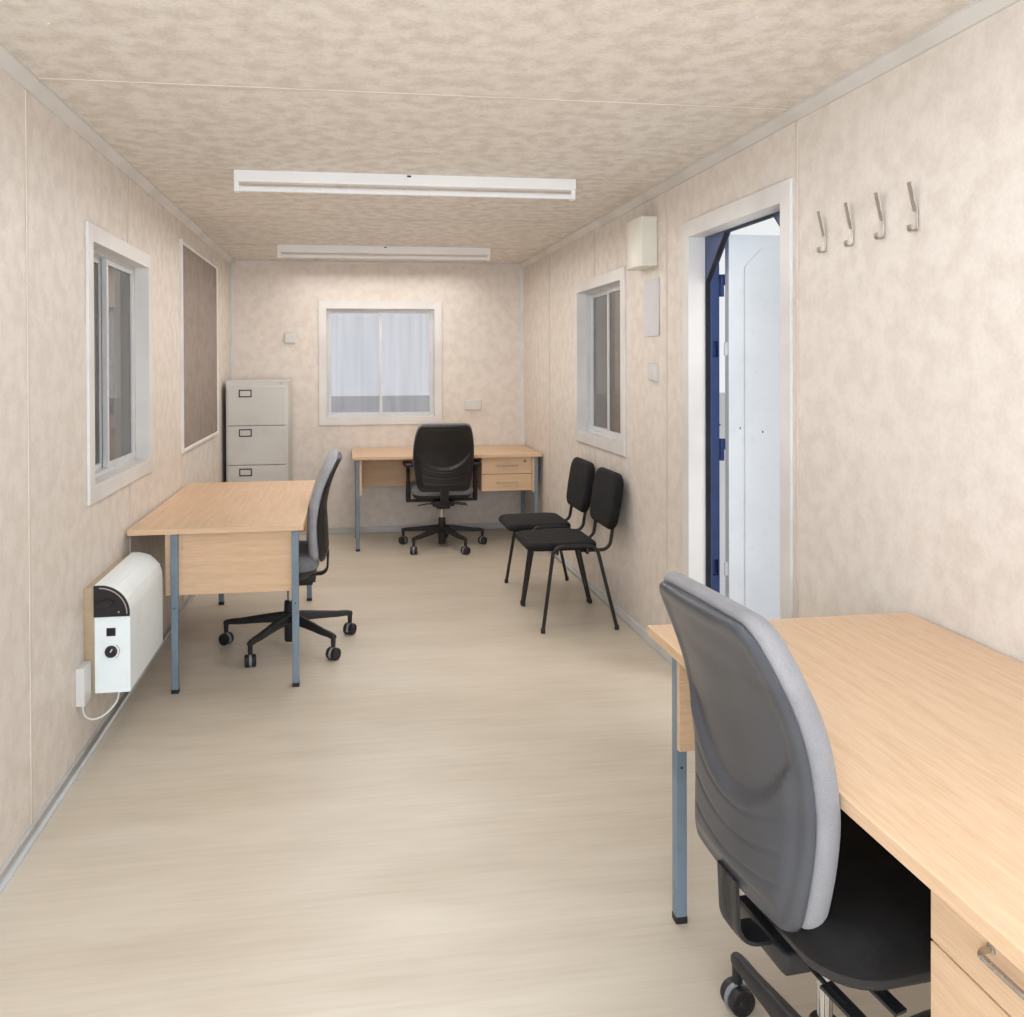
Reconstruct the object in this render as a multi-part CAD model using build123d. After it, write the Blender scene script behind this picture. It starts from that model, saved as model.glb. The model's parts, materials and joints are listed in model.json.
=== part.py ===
from build123d import *
import os
from math import atan, cos, degrees, pi, radians, tan

# A portable site cabin: a steel-framed, steel-clad box with one room, one steel door, four sliding windows
# and the fittings and furniture of a site office.
# Millimetres. X is the width, with the door on the +X side. Y is the length. Z is up from the underside of
# the base, and the origin is the middle of that underside.

# The room, between its finished faces
ROOM_LENGTH = 8294
ROOM_WIDTH = 2500
ROOM_HEIGHT = 2320

HALF_ROOM = ROOM_LENGTH / 2

# The shell
WALL = 120
PANEL = 70
BASE_HEIGHT = 150
RAIL_FLANGE = 100
RAIL_STEEL = 6
JOIST_WIDTH = 50
JOIST_PITCH = 585
FLOOR_DECK = 22
CEILING = 12
ROOF_RAIL_HEIGHT = 120
ROOF_JOIST_WIDTH = 47
ROOF_CAMBER = 30
ROOF_STEEL = 3
DRIP_LIP = 40
POST_STEEL = 5

# Cladding: vertical trapezoidal ribs
RIB_PITCH = 240
RIB_DEPTH = 47
RIB_CREST = 90
RIB_SLOPE = 30
CLAD_STEEL = 3

# Linings: sheets of one width with cover strips on their joints
SHEET_WIDTH = 1220
STRIP_WIDTH = 14
STRIP_DEPTH = 4
SKIRTING_HEIGHT = 50
SKIRTING_DEPTH = 12
COVE = 38
COVE_LIP = 9
CORNER_TRIM = 30
CORNER_TRIM_THICKNESS = 4
END_TRIM_HEIGHT = 22

# Door set. The leaf is hung on the far jamb and stands open at rest.
DOOR_Y = 28
DOOR_CLEAR_WIDTH = 828
DOOR_CLEAR_HEIGHT = 2017
DOOR_LINING = 18
STOP_OVERLAP = 5
DOOR_FRAME_DEPTH = 75
DOOR_FRAME_FACE = 48
STOP_DEPTH = 30
REBATE = 22
GUSSET = 195
LEAF_THICKNESS = 40
LEAF_CLEARANCE = 7
LEAF_SILL_GAP = 6
GASKET_THICKNESS = 4
GASKET_DEPTH = 20
LINER_INSET = 75
LINER_RISE_INSET = 60
LINER_CORNER = 85
LINER_DEPTH = 4
HINGE_KNUCKLE_RADIUS = 11
HINGE_OFFSET = 12
HINGE_EDGE_GAP = 10
HINGE_PIN_RADIUS = 6
PIN_CLEARANCE = 0.05
KNUCKLE_HEIGHT = 50
KNUCKLE_GAP = 1
HINGE_STRAP_THICKNESS = 6
HINGE_STRAP_LENGTH = 60
HINGE_STRAP_SEAT = 35
HINGE_HEIGHTS = (250, 1000, 1750)
DOG_BOLT_HEIGHTS = (510, 1510)
DOG_BOLT_LENGTH = 60
DOG_BOLT_THICKNESS = 12
DOG_BOLT_REACH = 12
DOG_HOLE_CLEARANCE = 6
HANDLE_HEIGHT = 1000
HANDLE_EDGE = 120
OPEN_ANGLE = 90

# Casings around the door and the windows
CASING_WIDTH = 67
DOOR_CASING_WIDTH = 74
CASING_DEPTH = 12

# Windows
WINDOW_WIDTH = 920
WINDOW_HEIGHT = 925
WINDOW_SILL = 992
WINDOW_REVEAL = 12
REVEAL_DEPTH = 55
WINDOW_FRAME_FACE = 24
WINDOW_FLANGE = 30
WINDOW_FLANGE_THICKNESS = 3
SASH_STILE = 24
SASH_DEPTH = 22
SASH_TRACK = 26
GLASS = 4
LEFT_WINDOW_Y = 630
RIGHT_WINDOW_Y = 1880

# Lights, on every second joint of the ceiling sheets
LIGHT_LENGTH = 1575
LIGHT_BODY_WIDTH = 60
LIGHT_BODY_HEIGHT = 50
LIGHT_HOLDER = 46
TUBE_RADIUS = 13
TUBE_DROP = 27

# Fittings on the walls
BOARD_SPAN = (1922, 3314)
BOARD_RISE = (930, 2178)
BOARD_FRAME = 24
BOARD_DEPTH = 18
BOARD_FELT = 10
CONSUMER_SPAN = (858, 1093)
CONSUMER_RISE = (1933, 2183)
CONSUMER_DEPTH = 95
SWITCH_Y = 895
SWITCH_Z = 1402
SINGLE_PLATE = 86
DOUBLE_PLATE = 146
PLATE_DEPTH = 24
BLANK_PLATE_X = -764
BLANK_PLATE_Z = 1670
SOCKET_X = 796
SOCKET_Z = 1087
HOOK_YS = (-661, -814, -967, -1115)
HOOK_FOOT_Z = 1803
HOOK_HEIGHT = 137
HOOK_WIDTH = 20
HOOK_STEEL = 4
HOOK_KINK = 52
HOOK_REACH = 26
HOOK_TIP = 18

# Heater on the left wall
HEATER_SPAN = (48, 614)
HEATER_RISE = (243, 640)
HEATER_DEPTH = 125
HEATER_STANDOFF = 38
HEATER_NOSE = 105
HEATER_CAP = 10
SPUR_SPAN = (-50, 36)
SPUR_RISE = (234, 370)
SPUR_DEPTH = 30
FLEX_RADIUS = 3.5

# Desks: two of one height, and a taller one on the right wall. The insets are those of their legs.
DESK_TOP = 25
DESK_LENGTH = 1490
DESK_DEPTH = 750
DESK_LEG = 30
DESK_END_INSET = 26
DESK_REAR_INSET = 174
DESK_WALL_GAP = 14
DESK_PANEL = 18
DESK_PANEL_RISE = 281
PANEL_OVERHANG = 28
LEFT_DESK_Y = 630
NEAR_DESK_Y = -1100
DESK_HEIGHT = 732
DESK_FRONT_INSET = 24
NEAR_DESK_HEIGHT = 760
NEAR_DESK_FRONT_INSET = 56
DRAWER_WIDTH = 405
DRAWER_UNIT_HEIGHT = 270
DRAWER_COUNT = 2
DRAWER_GAP = 4
DRAWER_FRONT = 18
PULL_LENGTH = 160
PULL_REACH = 24
PULL_RADIUS = 5

# Filing cabinet
CABINET_LEFT = -1217
CABINET_WIDTH = 470
CABINET_DEPTH = 575
CABINET_HEIGHT = 1321
CABINET_DRAWERS = 4
CABINET_PLINTH = 60
CABINET_HEAD = 40
CABINET_GAP = 6
CABINET_FRONT = 20
CABINET_WALL_GAP = 14

# Swivel chairs, each given as (x, y, turn, turn of its star, lift); a chair with no turn faces +Y
SWIVEL_CHAIRS = ((-588, LEFT_DESK_Y + 610, 90, 24, 0), (446, HALF_ROOM - 672, 0, 8, 0),
                 (578, NEAR_DESK_Y - 690, -86, 20, 50))
ARMED_CHAIR = 1
STAR_RADIUS = 335
STAR_LEGS = 5
STAR_HUB = 38
STAR_LEG_WIDTH = 46
STAR_LEG_DEPTH = 52
STAR_TIP_WIDTH = 26
STAR_TIP_DEPTH = 22
STAR_CROWN = 178
STAR_TIP_HEIGHT = 122
CASTOR_RADIUS = 30
CASTOR_WHEEL = 20
CASTOR_SPREAD = 14
COLUMN_RADIUS = 28
COLUMN_FOOT = 24
COLUMN_HEAD = 232
LIFT_RADIUS = 14
SEAT_UNDERSIDE = 302
SEAT_BOX = 78
SEAT_PAN = 45
SEAT_WIDTH = 490
SEAT_DEPTH = 460
SEAT_FORWARD = 75
SEAT_CUSHION = 75
BACK_WIDTH = 470
BACK_SHOULDER = 290
BACK_CORNER = 70
BACK_RIM = 12
BACK_CUSHION = 42
BACK_CUSHION_RIM = 26
SHELL_RISE = (480, 978)
CUSHION_RISE = (506, 1015)
# Heights up the backrest, with how far its shell's edge and its shell's middle lie behind the chair's axis
BACK_PROFILE = ((470, 163, 238), (600, 152, 236), (690, 154, 240), (830, 180, 252), (1030, 262, 288))
BACK_HOUSING = 120
BACK_BAR_WIDTH = 70
BACK_BAR = 10
BACK_BAR_REACH = 230
SOFT_GAP = 0.3
ARM_X = 265
ARM_HEIGHT = 650
ARM_POST = 36
ARM_PAD = (80, 240, 25)

# Visitor chairs against the right wall, facing -X
VISITOR_YS = (1487, 2037)
VISITOR_TUBE = 10
VISITOR_BEND = 55
VISITOR_WIDTH = 470
VISITOR_SPLAY = 34
VISITOR_FRONT_FOOT = 167
VISITOR_REAR_FOOT = -243
VISITOR_HOOP = (98, -140)
VISITOR_FOOT = 14
VISITOR_SEAT_HEIGHT = 425
VISITOR_SEAT_DEPTH = 400
VISITOR_SEAT_FORWARD = 38
VISITOR_PAD = 48
VISITOR_SIDE_GAP = 3
VISITOR_BACK_Y = -235
VISITOR_LEAN = 0.16
VISITOR_UPRIGHT_INSET = 60
VISITOR_UPRIGHT_SEAT = 18
VISITOR_BACK_WIDTH = 440
VISITOR_BACK_HEIGHT = 316
VISITOR_BACK_PAD = 58
VISITOR_BACK_TOP = 832
VISITOR_WALL_GAP = 40

# Lifting eyes on the posts
EYE_PLATE = 100
EYE_PLATE_THICKNESS = 10
EYE_THICKNESS = 20
EYE_RADIUS = 40
EYE_HOLE_RADIUS = 20
EYE_RISE = 50

# Levels and faces that follow from the sizes above
HALF_WIDTH = ROOM_WIDTH / 2
OUTER_X = HALF_WIDTH + WALL
OUTER_Y = HALF_ROOM + WALL
FLOOR = BASE_HEIGHT + FLOOR_DECK
CEILING_Z = FLOOR + ROOM_HEIGHT
WALL_TOP = CEILING_Z + CEILING
ROOF_Z = WALL_TOP + ROOF_RAIL_HEIGHT
PANEL_FACE = HALF_WIDTH + PANEL


def block(x, y, z):
    """A box from its (low, high) pair on each axis."""
    centre = [(low + high) / 2 for low, high in (x, y, z)]
    return Pos(*centre) * Box(x[1] - x[0], y[1] - y[0], z[1] - z[0])


def prism(plane, points, amount):
    """A straight-sided outline on a plane, extruded along the plane's normal."""
    return extrude(plane * make_face(Polyline(*points, close=True)), amount)


def rod(start, end, radius):
    """A round bar from one point to another."""
    along = Vector(*end) - Vector(*start)
    return extrude(Plane(start, z_dir=along) * Circle(radius), along.length)


def tube(points, radii, radius):
    """A round bar bent along a polyline with a radius at each corner."""
    path = FilletPolyline(*points, radius=radii)
    return sweep(Plane(path @ 0, z_dir=path % 0) * Circle(radius), path=path)


def union(pieces):
    """One solid from pieces that overlap or meet."""
    whole = pieces[0]
    for piece in pieces[1:]:
        whole = whole + piece
    return whole


def save(node, *pieces):
    """Write one sub-part; pieces that don't meet are separate solids of it."""
    solids = [solid for piece in pieces for solid in piece.solids()]
    export_step(Compound(solids), f"parts/{node}.step")


# Base, floor and roof

def side_channel(side, low, high):
    """A channel along the room's length, open towards the middle, between two levels."""
    outer = block((OUTER_X - RAIL_FLANGE, OUTER_X), (-HALF_ROOM, HALF_ROOM), (low, high))
    hollow = block((OUTER_X - RAIL_FLANGE, OUTER_X - RAIL_STEEL), (-HALF_ROOM, HALF_ROOM),
                   (low + RAIL_STEEL, high - RAIL_STEEL))
    rail = outer - hollow
    return rail if side > 0 else mirror(rail, about=Plane.YZ)


def end_channel(end, low, high):
    """A channel across the room's width, open towards the middle; the roof's has a low gable on top."""
    outer = block((-HALF_WIDTH, HALF_WIDTH), (OUTER_Y - RAIL_FLANGE, OUTER_Y), (low, high))
    hollow = block((-HALF_WIDTH, HALF_WIDTH), (OUTER_Y - RAIL_FLANGE, OUTER_Y - RAIL_STEEL),
                   (low + RAIL_STEEL, high - RAIL_STEEL))
    rail = outer - hollow
    if high == ROOF_Z:
        rise = [(-HALF_WIDTH, ROOF_Z), (HALF_WIDTH, ROOF_Z), (0, roof_slope(0))]
        rail += prism(Plane.XZ.offset(-OUTER_Y), rise, RAIL_STEEL)
    return rail if end > 0 else mirror(rail, about=Plane.XZ)


def joist_places():
    """Joists stand at one pitch, both ways from the middle of the cabin."""
    each_way = int((HALF_ROOM - JOIST_WIDTH / 2) // JOIST_PITCH)
    return [k * JOIST_PITCH for k in range(-each_way, each_way + 1)]


def floor_joist(y):
    """A floor joist: a channel between the side rails' flanges, with its underside level with theirs."""
    reach = OUTER_X - RAIL_FLANGE
    outer = block((-reach, reach), (y - JOIST_WIDTH / 2, y + JOIST_WIDTH / 2), (0, BASE_HEIGHT))
    hollow = block((-reach, reach), (y - JOIST_WIDTH / 2 + RAIL_STEEL, y + JOIST_WIDTH / 2),
                   (RAIL_STEEL, BASE_HEIGHT - RAIL_STEEL))
    return outer - hollow


def roof_slope(x):
    """Height of the roof's underside at a distance from the middle: flat over the rails, then rising."""
    return ROOF_Z + ROOF_CAMBER * (1 - min(abs(x), HALF_WIDTH) / HALF_WIDTH)


def roof_joist(y):
    """A roof joist: its top follows the camber, and its straight underside carries the ceiling."""
    outline = [(-HALF_WIDTH, WALL_TOP), (HALF_WIDTH, WALL_TOP), (HALF_WIDTH, ROOF_Z),
               (0, roof_slope(0)), (-HALF_WIDTH, ROOF_Z)]
    start = Plane.XZ.offset(-(y + ROOF_JOIST_WIDTH / 2))
    return prism(start, outline, ROOF_JOIST_WIDTH)


def roof_sheet():
    """The folded roof sheet, with a drip lip down over each eaves rail."""
    edge = OUTER_X + ROOF_STEEL
    top = ROOF_Z + ROOF_STEEL
    outline = [(-edge, ROOF_Z - DRIP_LIP), (-OUTER_X, ROOF_Z - DRIP_LIP), (-OUTER_X, ROOF_Z),
               (-HALF_WIDTH, ROOF_Z), (0, roof_slope(0)), (HALF_WIDTH, ROOF_Z), (OUTER_X, ROOF_Z),
               (OUTER_X, ROOF_Z - DRIP_LIP), (edge, ROOF_Z - DRIP_LIP), (edge, top), (HALF_WIDTH, top),
               (0, roof_slope(0) + ROOF_STEEL), (-HALF_WIDTH, top), (-edge, top)]
    sheet = prism(Plane.XZ.offset(-OUTER_Y), outline, 2 * OUTER_Y)
    for x in (-1, 1):
        for y in (-1, 1):
            sheet -= block((x * OUTER_X - WALL, x * OUTER_X + WALL), (y * OUTER_Y - WALL, y * OUTER_Y + WALL),
                           (ROOF_Z - 2 * DRIP_LIP, top + ROOF_CAMBER))
    return sheet


def corner_post(x, y):
    """A square hollow post with a closed head, from the ground to the roof's edge."""
    low_x, high_x = sorted((x * HALF_WIDTH, x * OUTER_X))
    low_y, high_y = sorted((y * HALF_ROOM, y * OUTER_Y))
    outer = block((low_x, high_x), (low_y, high_y), (0, ROOF_Z + ROOF_STEEL))
    hollow = block((low_x + POST_STEEL, high_x - POST_STEEL), (low_y + POST_STEEL, high_y - POST_STEEL),
                   (0, ROOF_Z + ROOF_STEEL - POST_STEEL))
    return outer - hollow


def lifting_eye(x, y):
    """A lifting eye: a foot plate on the post's head and an upright plate with a shackle hole."""
    centre_x = x * (HALF_WIDTH + WALL / 2)
    centre_y = y * (HALF_ROOM + WALL / 2)
    foot_z = ROOF_Z + ROOF_STEEL
    foot = block((centre_x - EYE_PLATE / 2, centre_x + EYE_PLATE / 2),
                 (centre_y - EYE_PLATE / 2, centre_y + EYE_PLATE / 2), (foot_z, foot_z + EYE_PLATE_THICKNESS))
    plate = Plane((centre_x - EYE_THICKNESS / 2, centre_y, foot_z), x_dir=(0, 1, 0), z_dir=(1, 0, 0))
    outline = Pos(0, EYE_RISE) * Circle(EYE_RADIUS) + Pos(0, EYE_RISE / 2) * Rectangle(2 * EYE_RADIUS, EYE_RISE)
    outline -= Pos(0, EYE_RISE) * Circle(EYE_HOLE_RADIUS)
    return foot + extrude(plate * outline, EYE_THICKNESS)


# Openings in the walls, as (low, high) pairs along the wall and up it

WINDOW_RISE = (FLOOR + WINDOW_SILL, FLOOR + WINDOW_SILL + WINDOW_HEIGHT)


def grow(span, by):
    """A (low, high) pair made longer at both ends."""
    return (span[0] - by, span[1] + by)


def window_span(centre):
    """The clear width of a window around its centre line."""
    return (centre - WINDOW_WIDTH / 2, centre + WINDOW_WIDTH / 2)


DOOR_SPAN = (DOOR_Y - DOOR_CLEAR_WIDTH / 2, DOOR_Y + DOOR_CLEAR_WIDTH / 2)
DOOR_HEAD = FLOOR + DOOR_CLEAR_HEIGHT
DOOR_CUT = grow(DOOR_SPAN, DOOR_LINING)
DOOR_CUT_HEAD = DOOR_HEAD + DOOR_LINING

# A wall frame is a plane whose X runs along the wall, Y runs up, and Z runs outwards from the inner face.
LEFT_WALL = Plane((-HALF_WIDTH, 0, 0), x_dir=(0, -1, 0), z_dir=(-1, 0, 0))
RIGHT_WALL = Plane((HALF_WIDTH, 0, 0), x_dir=(0, 1, 0), z_dir=(1, 0, 0))
FAR_WALL = Plane((0, HALF_ROOM, 0), x_dir=(-1, 0, 0), z_dir=(0, 1, 0))
NEAR_WALL = Plane((0, -HALF_ROOM, 0), x_dir=(1, 0, 0), z_dir=(0, -1, 0))
WINDOWS = ((LEFT_WALL, -LEFT_WINDOW_Y), (RIGHT_WALL, RIGHT_WINDOW_Y), (FAR_WALL, 0), (NEAR_WALL, 0))


def on_wall(wall, span, rise, depth):
    """A box on a wall's frame: along the wall, up from the base's underside, and out from the inner face."""
    centre_u = (span[0] + span[1]) / 2
    centre_v = (rise[0] + rise[1]) / 2
    outline = Pos(centre_u, centre_v) * Rectangle(span[1] - span[0], rise[1] - rise[0])
    return extrude(wall.offset(depth[0]) * outline, depth[1] - depth[0])


def wall_panel(wall, span, rise, window=None):
    """A lined and insulated wall panel, with its window hole where it has one."""
    panel = on_wall(wall, span, rise, (0, PANEL))
    if window is not None:
        hole = grow(window_span(window), WINDOW_REVEAL)
        panel -= on_wall(wall, hole, grow(WINDOW_RISE, WINDOW_REVEAL), (-PANEL, 2 * PANEL))
    return panel


def cladding(wall, span, rise):
    """Ribbed steel sheet over a stretch of wall: the ribs stand out from the panel's outer face."""
    half_crest = RIB_CREST / 2
    foot = half_crest + RIB_SLOPE
    low, high = span
    middle = (low + high) / 2
    each_way = int(((high - low) / 2 - foot) // RIB_PITCH)
    face = [(low, PANEL)]
    for k in range(-each_way, each_way + 1):
        rib = middle + k * RIB_PITCH
        face += [(rib - foot, PANEL), (rib - half_crest, PANEL + RIB_DEPTH),
                 (rib + half_crest, PANEL + RIB_DEPTH), (rib + foot, PANEL)]
    face.append((high, PANEL))
    skin = face + [(u, depth + CLAD_STEEL) for u, depth in reversed(face)]
    bottom = Plane(wall.origin + Vector(0, 0, rise[0]), x_dir=wall.x_dir, z_dir=(0, 0, 1))
    outward = 1 if bottom.y_dir.dot(wall.z_dir) > 0 else -1
    return prism(bottom, [(u, outward * depth) for u, depth in skin], rise[1] - rise[0])


def clad_wall(wall, half_span, window=None):
    """Cladding over a whole wall, cut around its window."""
    sheet = cladding(wall, (-half_span, half_span), (BASE_HEIGHT, WALL_TOP))
    if window is not None:
        hole = grow(window_span(window), WINDOW_REVEAL)
        sheet -= on_wall(wall, hole, grow(WINDOW_RISE, WINDOW_REVEAL), (0, 2 * WALL))
    return sheet


# Door set: everything is drawn with the leaf shut, and the leaf's pieces are then swung open

DOOR_FRAME_FACE_X = PANEL_FACE + DOOR_FRAME_DEPTH
STOP_HALF = DOOR_CLEAR_WIDTH / 2 - STOP_OVERLAP
REBATE_HALF = STOP_HALF + REBATE
LEAF_HALF = REBATE_HALF - LEAF_CLEARANCE
STOP_HEAD = DOOR_HEAD - STOP_OVERLAP
STOP_OUTER_X = PANEL_FACE + STOP_DEPTH
REBATE_HEAD = STOP_HEAD + REBATE
LEAF_HEAD = REBATE_HEAD - LEAF_CLEARANCE
LEAF_FOOT = FLOOR + LEAF_SILL_GAP
LEAF_INNER_X = DOOR_FRAME_FACE_X - LEAF_THICKNESS
HINGE_X = DOOR_FRAME_FACE_X + HINGE_OFFSET
HINGE_Y = DOOR_Y + LEAF_HALF + HINGE_EDGE_GAP


def door_outline(half, foot, head, gusset, x, depth):
    """A door-shaped solid with its two top corners cut off, from one depth in the wall outwards."""
    plane = Plane((x, DOOR_Y, 0), x_dir=(0, 1, 0), z_dir=(1, 0, 0))
    points = [(-half, foot), (half, foot), (half, head - gusset), (half - gusset, head),
              (gusset - half, head), (-half, head - gusset)]
    return prism(plane, points, depth)


def door_frame():
    """The steel frame: jambs, head and threshold, a gusseted stop all round, and dog-bolt pockets."""
    outer_half = REBATE_HALF + DOOR_FRAME_FACE
    frame = block((PANEL_FACE, DOOR_FRAME_FACE_X), (DOOR_Y - outer_half, DOOR_Y + outer_half),
                  (BASE_HEIGHT, REBATE_HEAD + DOOR_FRAME_FACE))
    frame -= door_outline(STOP_HALF, FLOOR, STOP_HEAD, GUSSET, PANEL_FACE, STOP_DEPTH)
    frame -= block((STOP_OUTER_X, DOOR_FRAME_FACE_X), (DOOR_Y - REBATE_HALF, DOOR_Y + REBATE_HALF),
                   (FLOOR, REBATE_HEAD))
    for height in DOG_BOLT_HEIGHTS:
        frame -= block(grow(dog_bolt_depth(), DOG_HOLE_CLEARANCE),
                       (DOOR_Y + STOP_HALF, HINGE_Y + DOG_BOLT_REACH + DOG_HOLE_CLEARANCE),
                       grow(dog_bolt_rise(height), DOG_HOLE_CLEARANCE))
    return frame


def door_gasket():
    """The seal that lines the stop's inner edge."""
    outer = door_outline(STOP_HALF, FLOOR, STOP_HEAD, GUSSET, PANEL_FACE, GASKET_DEPTH)
    inner = door_outline(STOP_HALF - GASKET_THICKNESS, FLOOR, STOP_HEAD - GASKET_THICKNESS, GUSSET,
                         PANEL_FACE, GASKET_DEPTH)
    return outer - inner


def door_casing():
    """The white lining of the doorway and the casing around it on the room's side."""
    lining = block((HALF_WIDTH, PANEL_FACE), DOOR_CUT, (FLOOR, DOOR_CUT_HEAD))
    lining -= block((HALF_WIDTH, PANEL_FACE), DOOR_SPAN, (FLOOR, DOOR_HEAD))
    casing = block((HALF_WIDTH - CASING_DEPTH, HALF_WIDTH), grow(DOOR_SPAN, DOOR_CASING_WIDTH),
                   (FLOOR, DOOR_HEAD + DOOR_CASING_WIDTH))
    casing -= block((HALF_WIDTH - CASING_DEPTH, HALF_WIDTH), DOOR_SPAN, (FLOOR, DOOR_HEAD))
    return lining + casing


def dog_bolt_depth():
    """Where a dog bolt lies through the leaf's thickness."""
    middle = LEAF_INNER_X + LEAF_THICKNESS / 2
    return (middle - DOG_BOLT_THICKNESS / 2, middle + DOG_BOLT_THICKNESS / 2)


def dog_bolt_rise(height):
    """Where a dog bolt lies up the leaf's edge."""
    return (FLOOR + height - DOG_BOLT_LENGTH / 2, FLOOR + height + DOG_BOLT_LENGTH / 2)


def swing_open(piece):
    """Turn a piece of the leaf from shut to the open place in which it rests."""
    return Pos(HINGE_X, HINGE_Y, 0) * Rot(0, 0, OPEN_ANGLE) * Pos(-HINGE_X, -HINGE_Y, 0) * piece


def door_leaf():
    """The steel leaf with the fixed dog bolts on its hanging edge."""
    leaf = block((LEAF_INNER_X, DOOR_FRAME_FACE_X), (DOOR_Y - LEAF_HALF, DOOR_Y + LEAF_HALF),
                 (LEAF_FOOT, LEAF_HEAD))
    for height in DOG_BOLT_HEIGHTS:
        leaf += block(dog_bolt_depth(), (DOOR_Y + LEAF_HALF, HINGE_Y + DOG_BOLT_REACH - HINGE_EDGE_GAP),
                      dog_bolt_rise(height))
    return swing_open(leaf)


def door_liner():
    """The raised panel on the leaf's inner face, with cut top corners that pass inside the gussets."""
    liner = door_outline(LEAF_HALF - LINER_INSET, LEAF_FOOT + LINER_RISE_INSET, LEAF_HEAD - LINER_RISE_INSET,
                         LINER_CORNER, LEAF_INNER_X - LINER_DEPTH, LINER_DEPTH)
    return swing_open(liner)


def hinge_half(height, leaf_side):
    """One half of a lift-off hinge: the frame's half holds the pin, and the leaf's half drops over it."""
    foot = FLOOR + height + (KNUCKLE_HEIGHT + KNUCKLE_GAP if leaf_side else 0)
    face = (DOOR_FRAME_FACE_X, DOOR_FRAME_FACE_X + HINGE_STRAP_THICKNESS)
    reach = (HINGE_Y - HINGE_STRAP_LENGTH, HINGE_Y) if leaf_side else (HINGE_Y, HINGE_Y + HINGE_STRAP_SEAT)
    strap = block(face, reach, (foot, foot + KNUCKLE_HEIGHT))
    knuckle = rod((HINGE_X, HINGE_Y, foot), (HINGE_X, HINGE_Y, foot + KNUCKLE_HEIGHT), HINGE_KNUCKLE_RADIUS)
    half = strap + knuckle
    if leaf_side:
        bore = rod((HINGE_X, HINGE_Y, foot), (HINGE_X, HINGE_Y, foot + KNUCKLE_HEIGHT),
                   HINGE_PIN_RADIUS + PIN_CLEARANCE)
        return swing_open(half - bore)
    pin_top = foot + 2 * KNUCKLE_HEIGHT + KNUCKLE_GAP
    return half + rod((HINGE_X, HINGE_Y, foot + KNUCKLE_HEIGHT / 2), (HINGE_X, HINGE_Y, pin_top),
                      HINGE_PIN_RADIUS)


def door_handles():
    """A lever on the room's side and a pull bar on the outside, near the leaf's free edge."""
    y = DOOR_Y - LEAF_HALF + HANDLE_EDGE
    z = FLOOR + HANDLE_HEIGHT
    inner_x = LEAF_INNER_X - LINER_DEPTH
    rose = block((inner_x - 8, inner_x), (y - 20, y + 20), (z - 85, z + 85))
    spindle = rod((inner_x - 8, y, z), (inner_x - 50, y, z), 9)
    lever = block((inner_x - 58, inner_x - 42), (y - 10, y + 120), (z - 9, z + 9))
    outer_x = DOOR_FRAME_FACE_X
    pull = tube([(outer_x, y, z - 110), (outer_x + 55, y, z - 110), (outer_x + 55, y, z + 110),
                 (outer_x, y, z + 110)], 20, 8)
    return swing_open(rose + spindle + lever), swing_open(pull)


# Windows: each is drawn on its wall's frame

def window_casing(wall, centre):
    """The white reveal boards of a window and the casing around it on the room's side."""
    clear = window_span(centre)
    boards = on_wall(wall, grow(clear, WINDOW_REVEAL), grow(WINDOW_RISE, WINDOW_REVEAL), (0, REVEAL_DEPTH))
    boards += on_wall(wall, grow(clear, CASING_WIDTH), grow(WINDOW_RISE, CASING_WIDTH), (-CASING_DEPTH, 0))
    return boards - on_wall(wall, clear, WINDOW_RISE, (-CASING_DEPTH, REVEAL_DEPTH))


def window_daylight(centre):
    """The width and rise inside a window's aluminium frame."""
    inset = WINDOW_FRAME_FACE - WINDOW_REVEAL
    return grow(window_span(centre), -inset), grow(WINDOW_RISE, -inset)


def window_frame(wall, centre):
    """The aluminium frame, from the reveal out to a flange that covers the cut edge of the cladding."""
    clear = window_span(centre)
    face = PANEL + RIB_DEPTH + CLAD_STEEL
    frame = on_wall(wall, grow(clear, WINDOW_REVEAL), grow(WINDOW_RISE, WINDOW_REVEAL), (REVEAL_DEPTH, face))
    frame += on_wall(wall, grow(clear, WINDOW_REVEAL + WINDOW_FLANGE),
                     grow(WINDOW_RISE, WINDOW_REVEAL + WINDOW_FLANGE),
                     (face, face + WINDOW_FLANGE_THICKNESS))
    span, rise = window_daylight(centre)
    return frame - on_wall(wall, span, rise, (REVEAL_DEPTH, face + WINDOW_FLANGE_THICKNESS))


def sash_places(centre):
    """The two sashes of a window: one on each track, lapped by a stile in the middle."""
    span, rise = window_daylight(centre)
    first = REVEAL_DEPTH + 4
    return (((span[0], centre + SASH_STILE / 2), rise, first),
            ((centre - SASH_STILE / 2, span[1]), rise, first + SASH_TRACK))


def window_sash(wall, place):
    """A sliding sash: four stiles around its glass."""
    span, rise, depth = place
    sash = on_wall(wall, span, rise, (depth, depth + SASH_DEPTH))
    return sash - on_wall(wall, grow(span, -SASH_STILE), grow(rise, -SASH_STILE), (depth, depth + SASH_DEPTH))


def window_pane(wall, place):
    """The glass of a sash, in the middle of its depth."""
    span, rise, depth = place
    middle = depth + SASH_DEPTH / 2
    return on_wall(wall, grow(span, -SASH_STILE), grow(rise, -SASH_STILE),
                   (middle - GLASS / 2, middle + GLASS / 2))


# Room trims and fittings

def sheet_joints():
    """Distances along the room of the joints between lining sheets, from the near end."""
    count = int(ROOM_LENGTH // SHEET_WIDTH)
    return [-HALF_ROOM + k * SHEET_WIDTH for k in range(1, count + 1) if k * SHEET_WIDTH < ROOM_LENGTH]


def room_strips(taken):
    """Cover strips on the side walls and the ceiling, cut around what is fixed over the joints."""
    strips = []
    for y in sheet_joints():
        span = (y - STRIP_WIDTH / 2, y + STRIP_WIDTH / 2)
        rise = (FLOOR + SKIRTING_HEIGHT, CEILING_Z - COVE)
        inner = HALF_WIDTH - STRIP_DEPTH
        strips.append(block((-HALF_WIDTH, -inner), span, rise))
        strips.append(block((inner, HALF_WIDTH), span, rise))
        strips.append(block((COVE - HALF_WIDTH, HALF_WIDTH - COVE), span, (CEILING_Z - STRIP_DEPTH, CEILING_Z)))
    cut = []
    for strip in strips:
        for solid in taken:
            strip = strip - solid
        cut.append(strip)
    return cut


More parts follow.
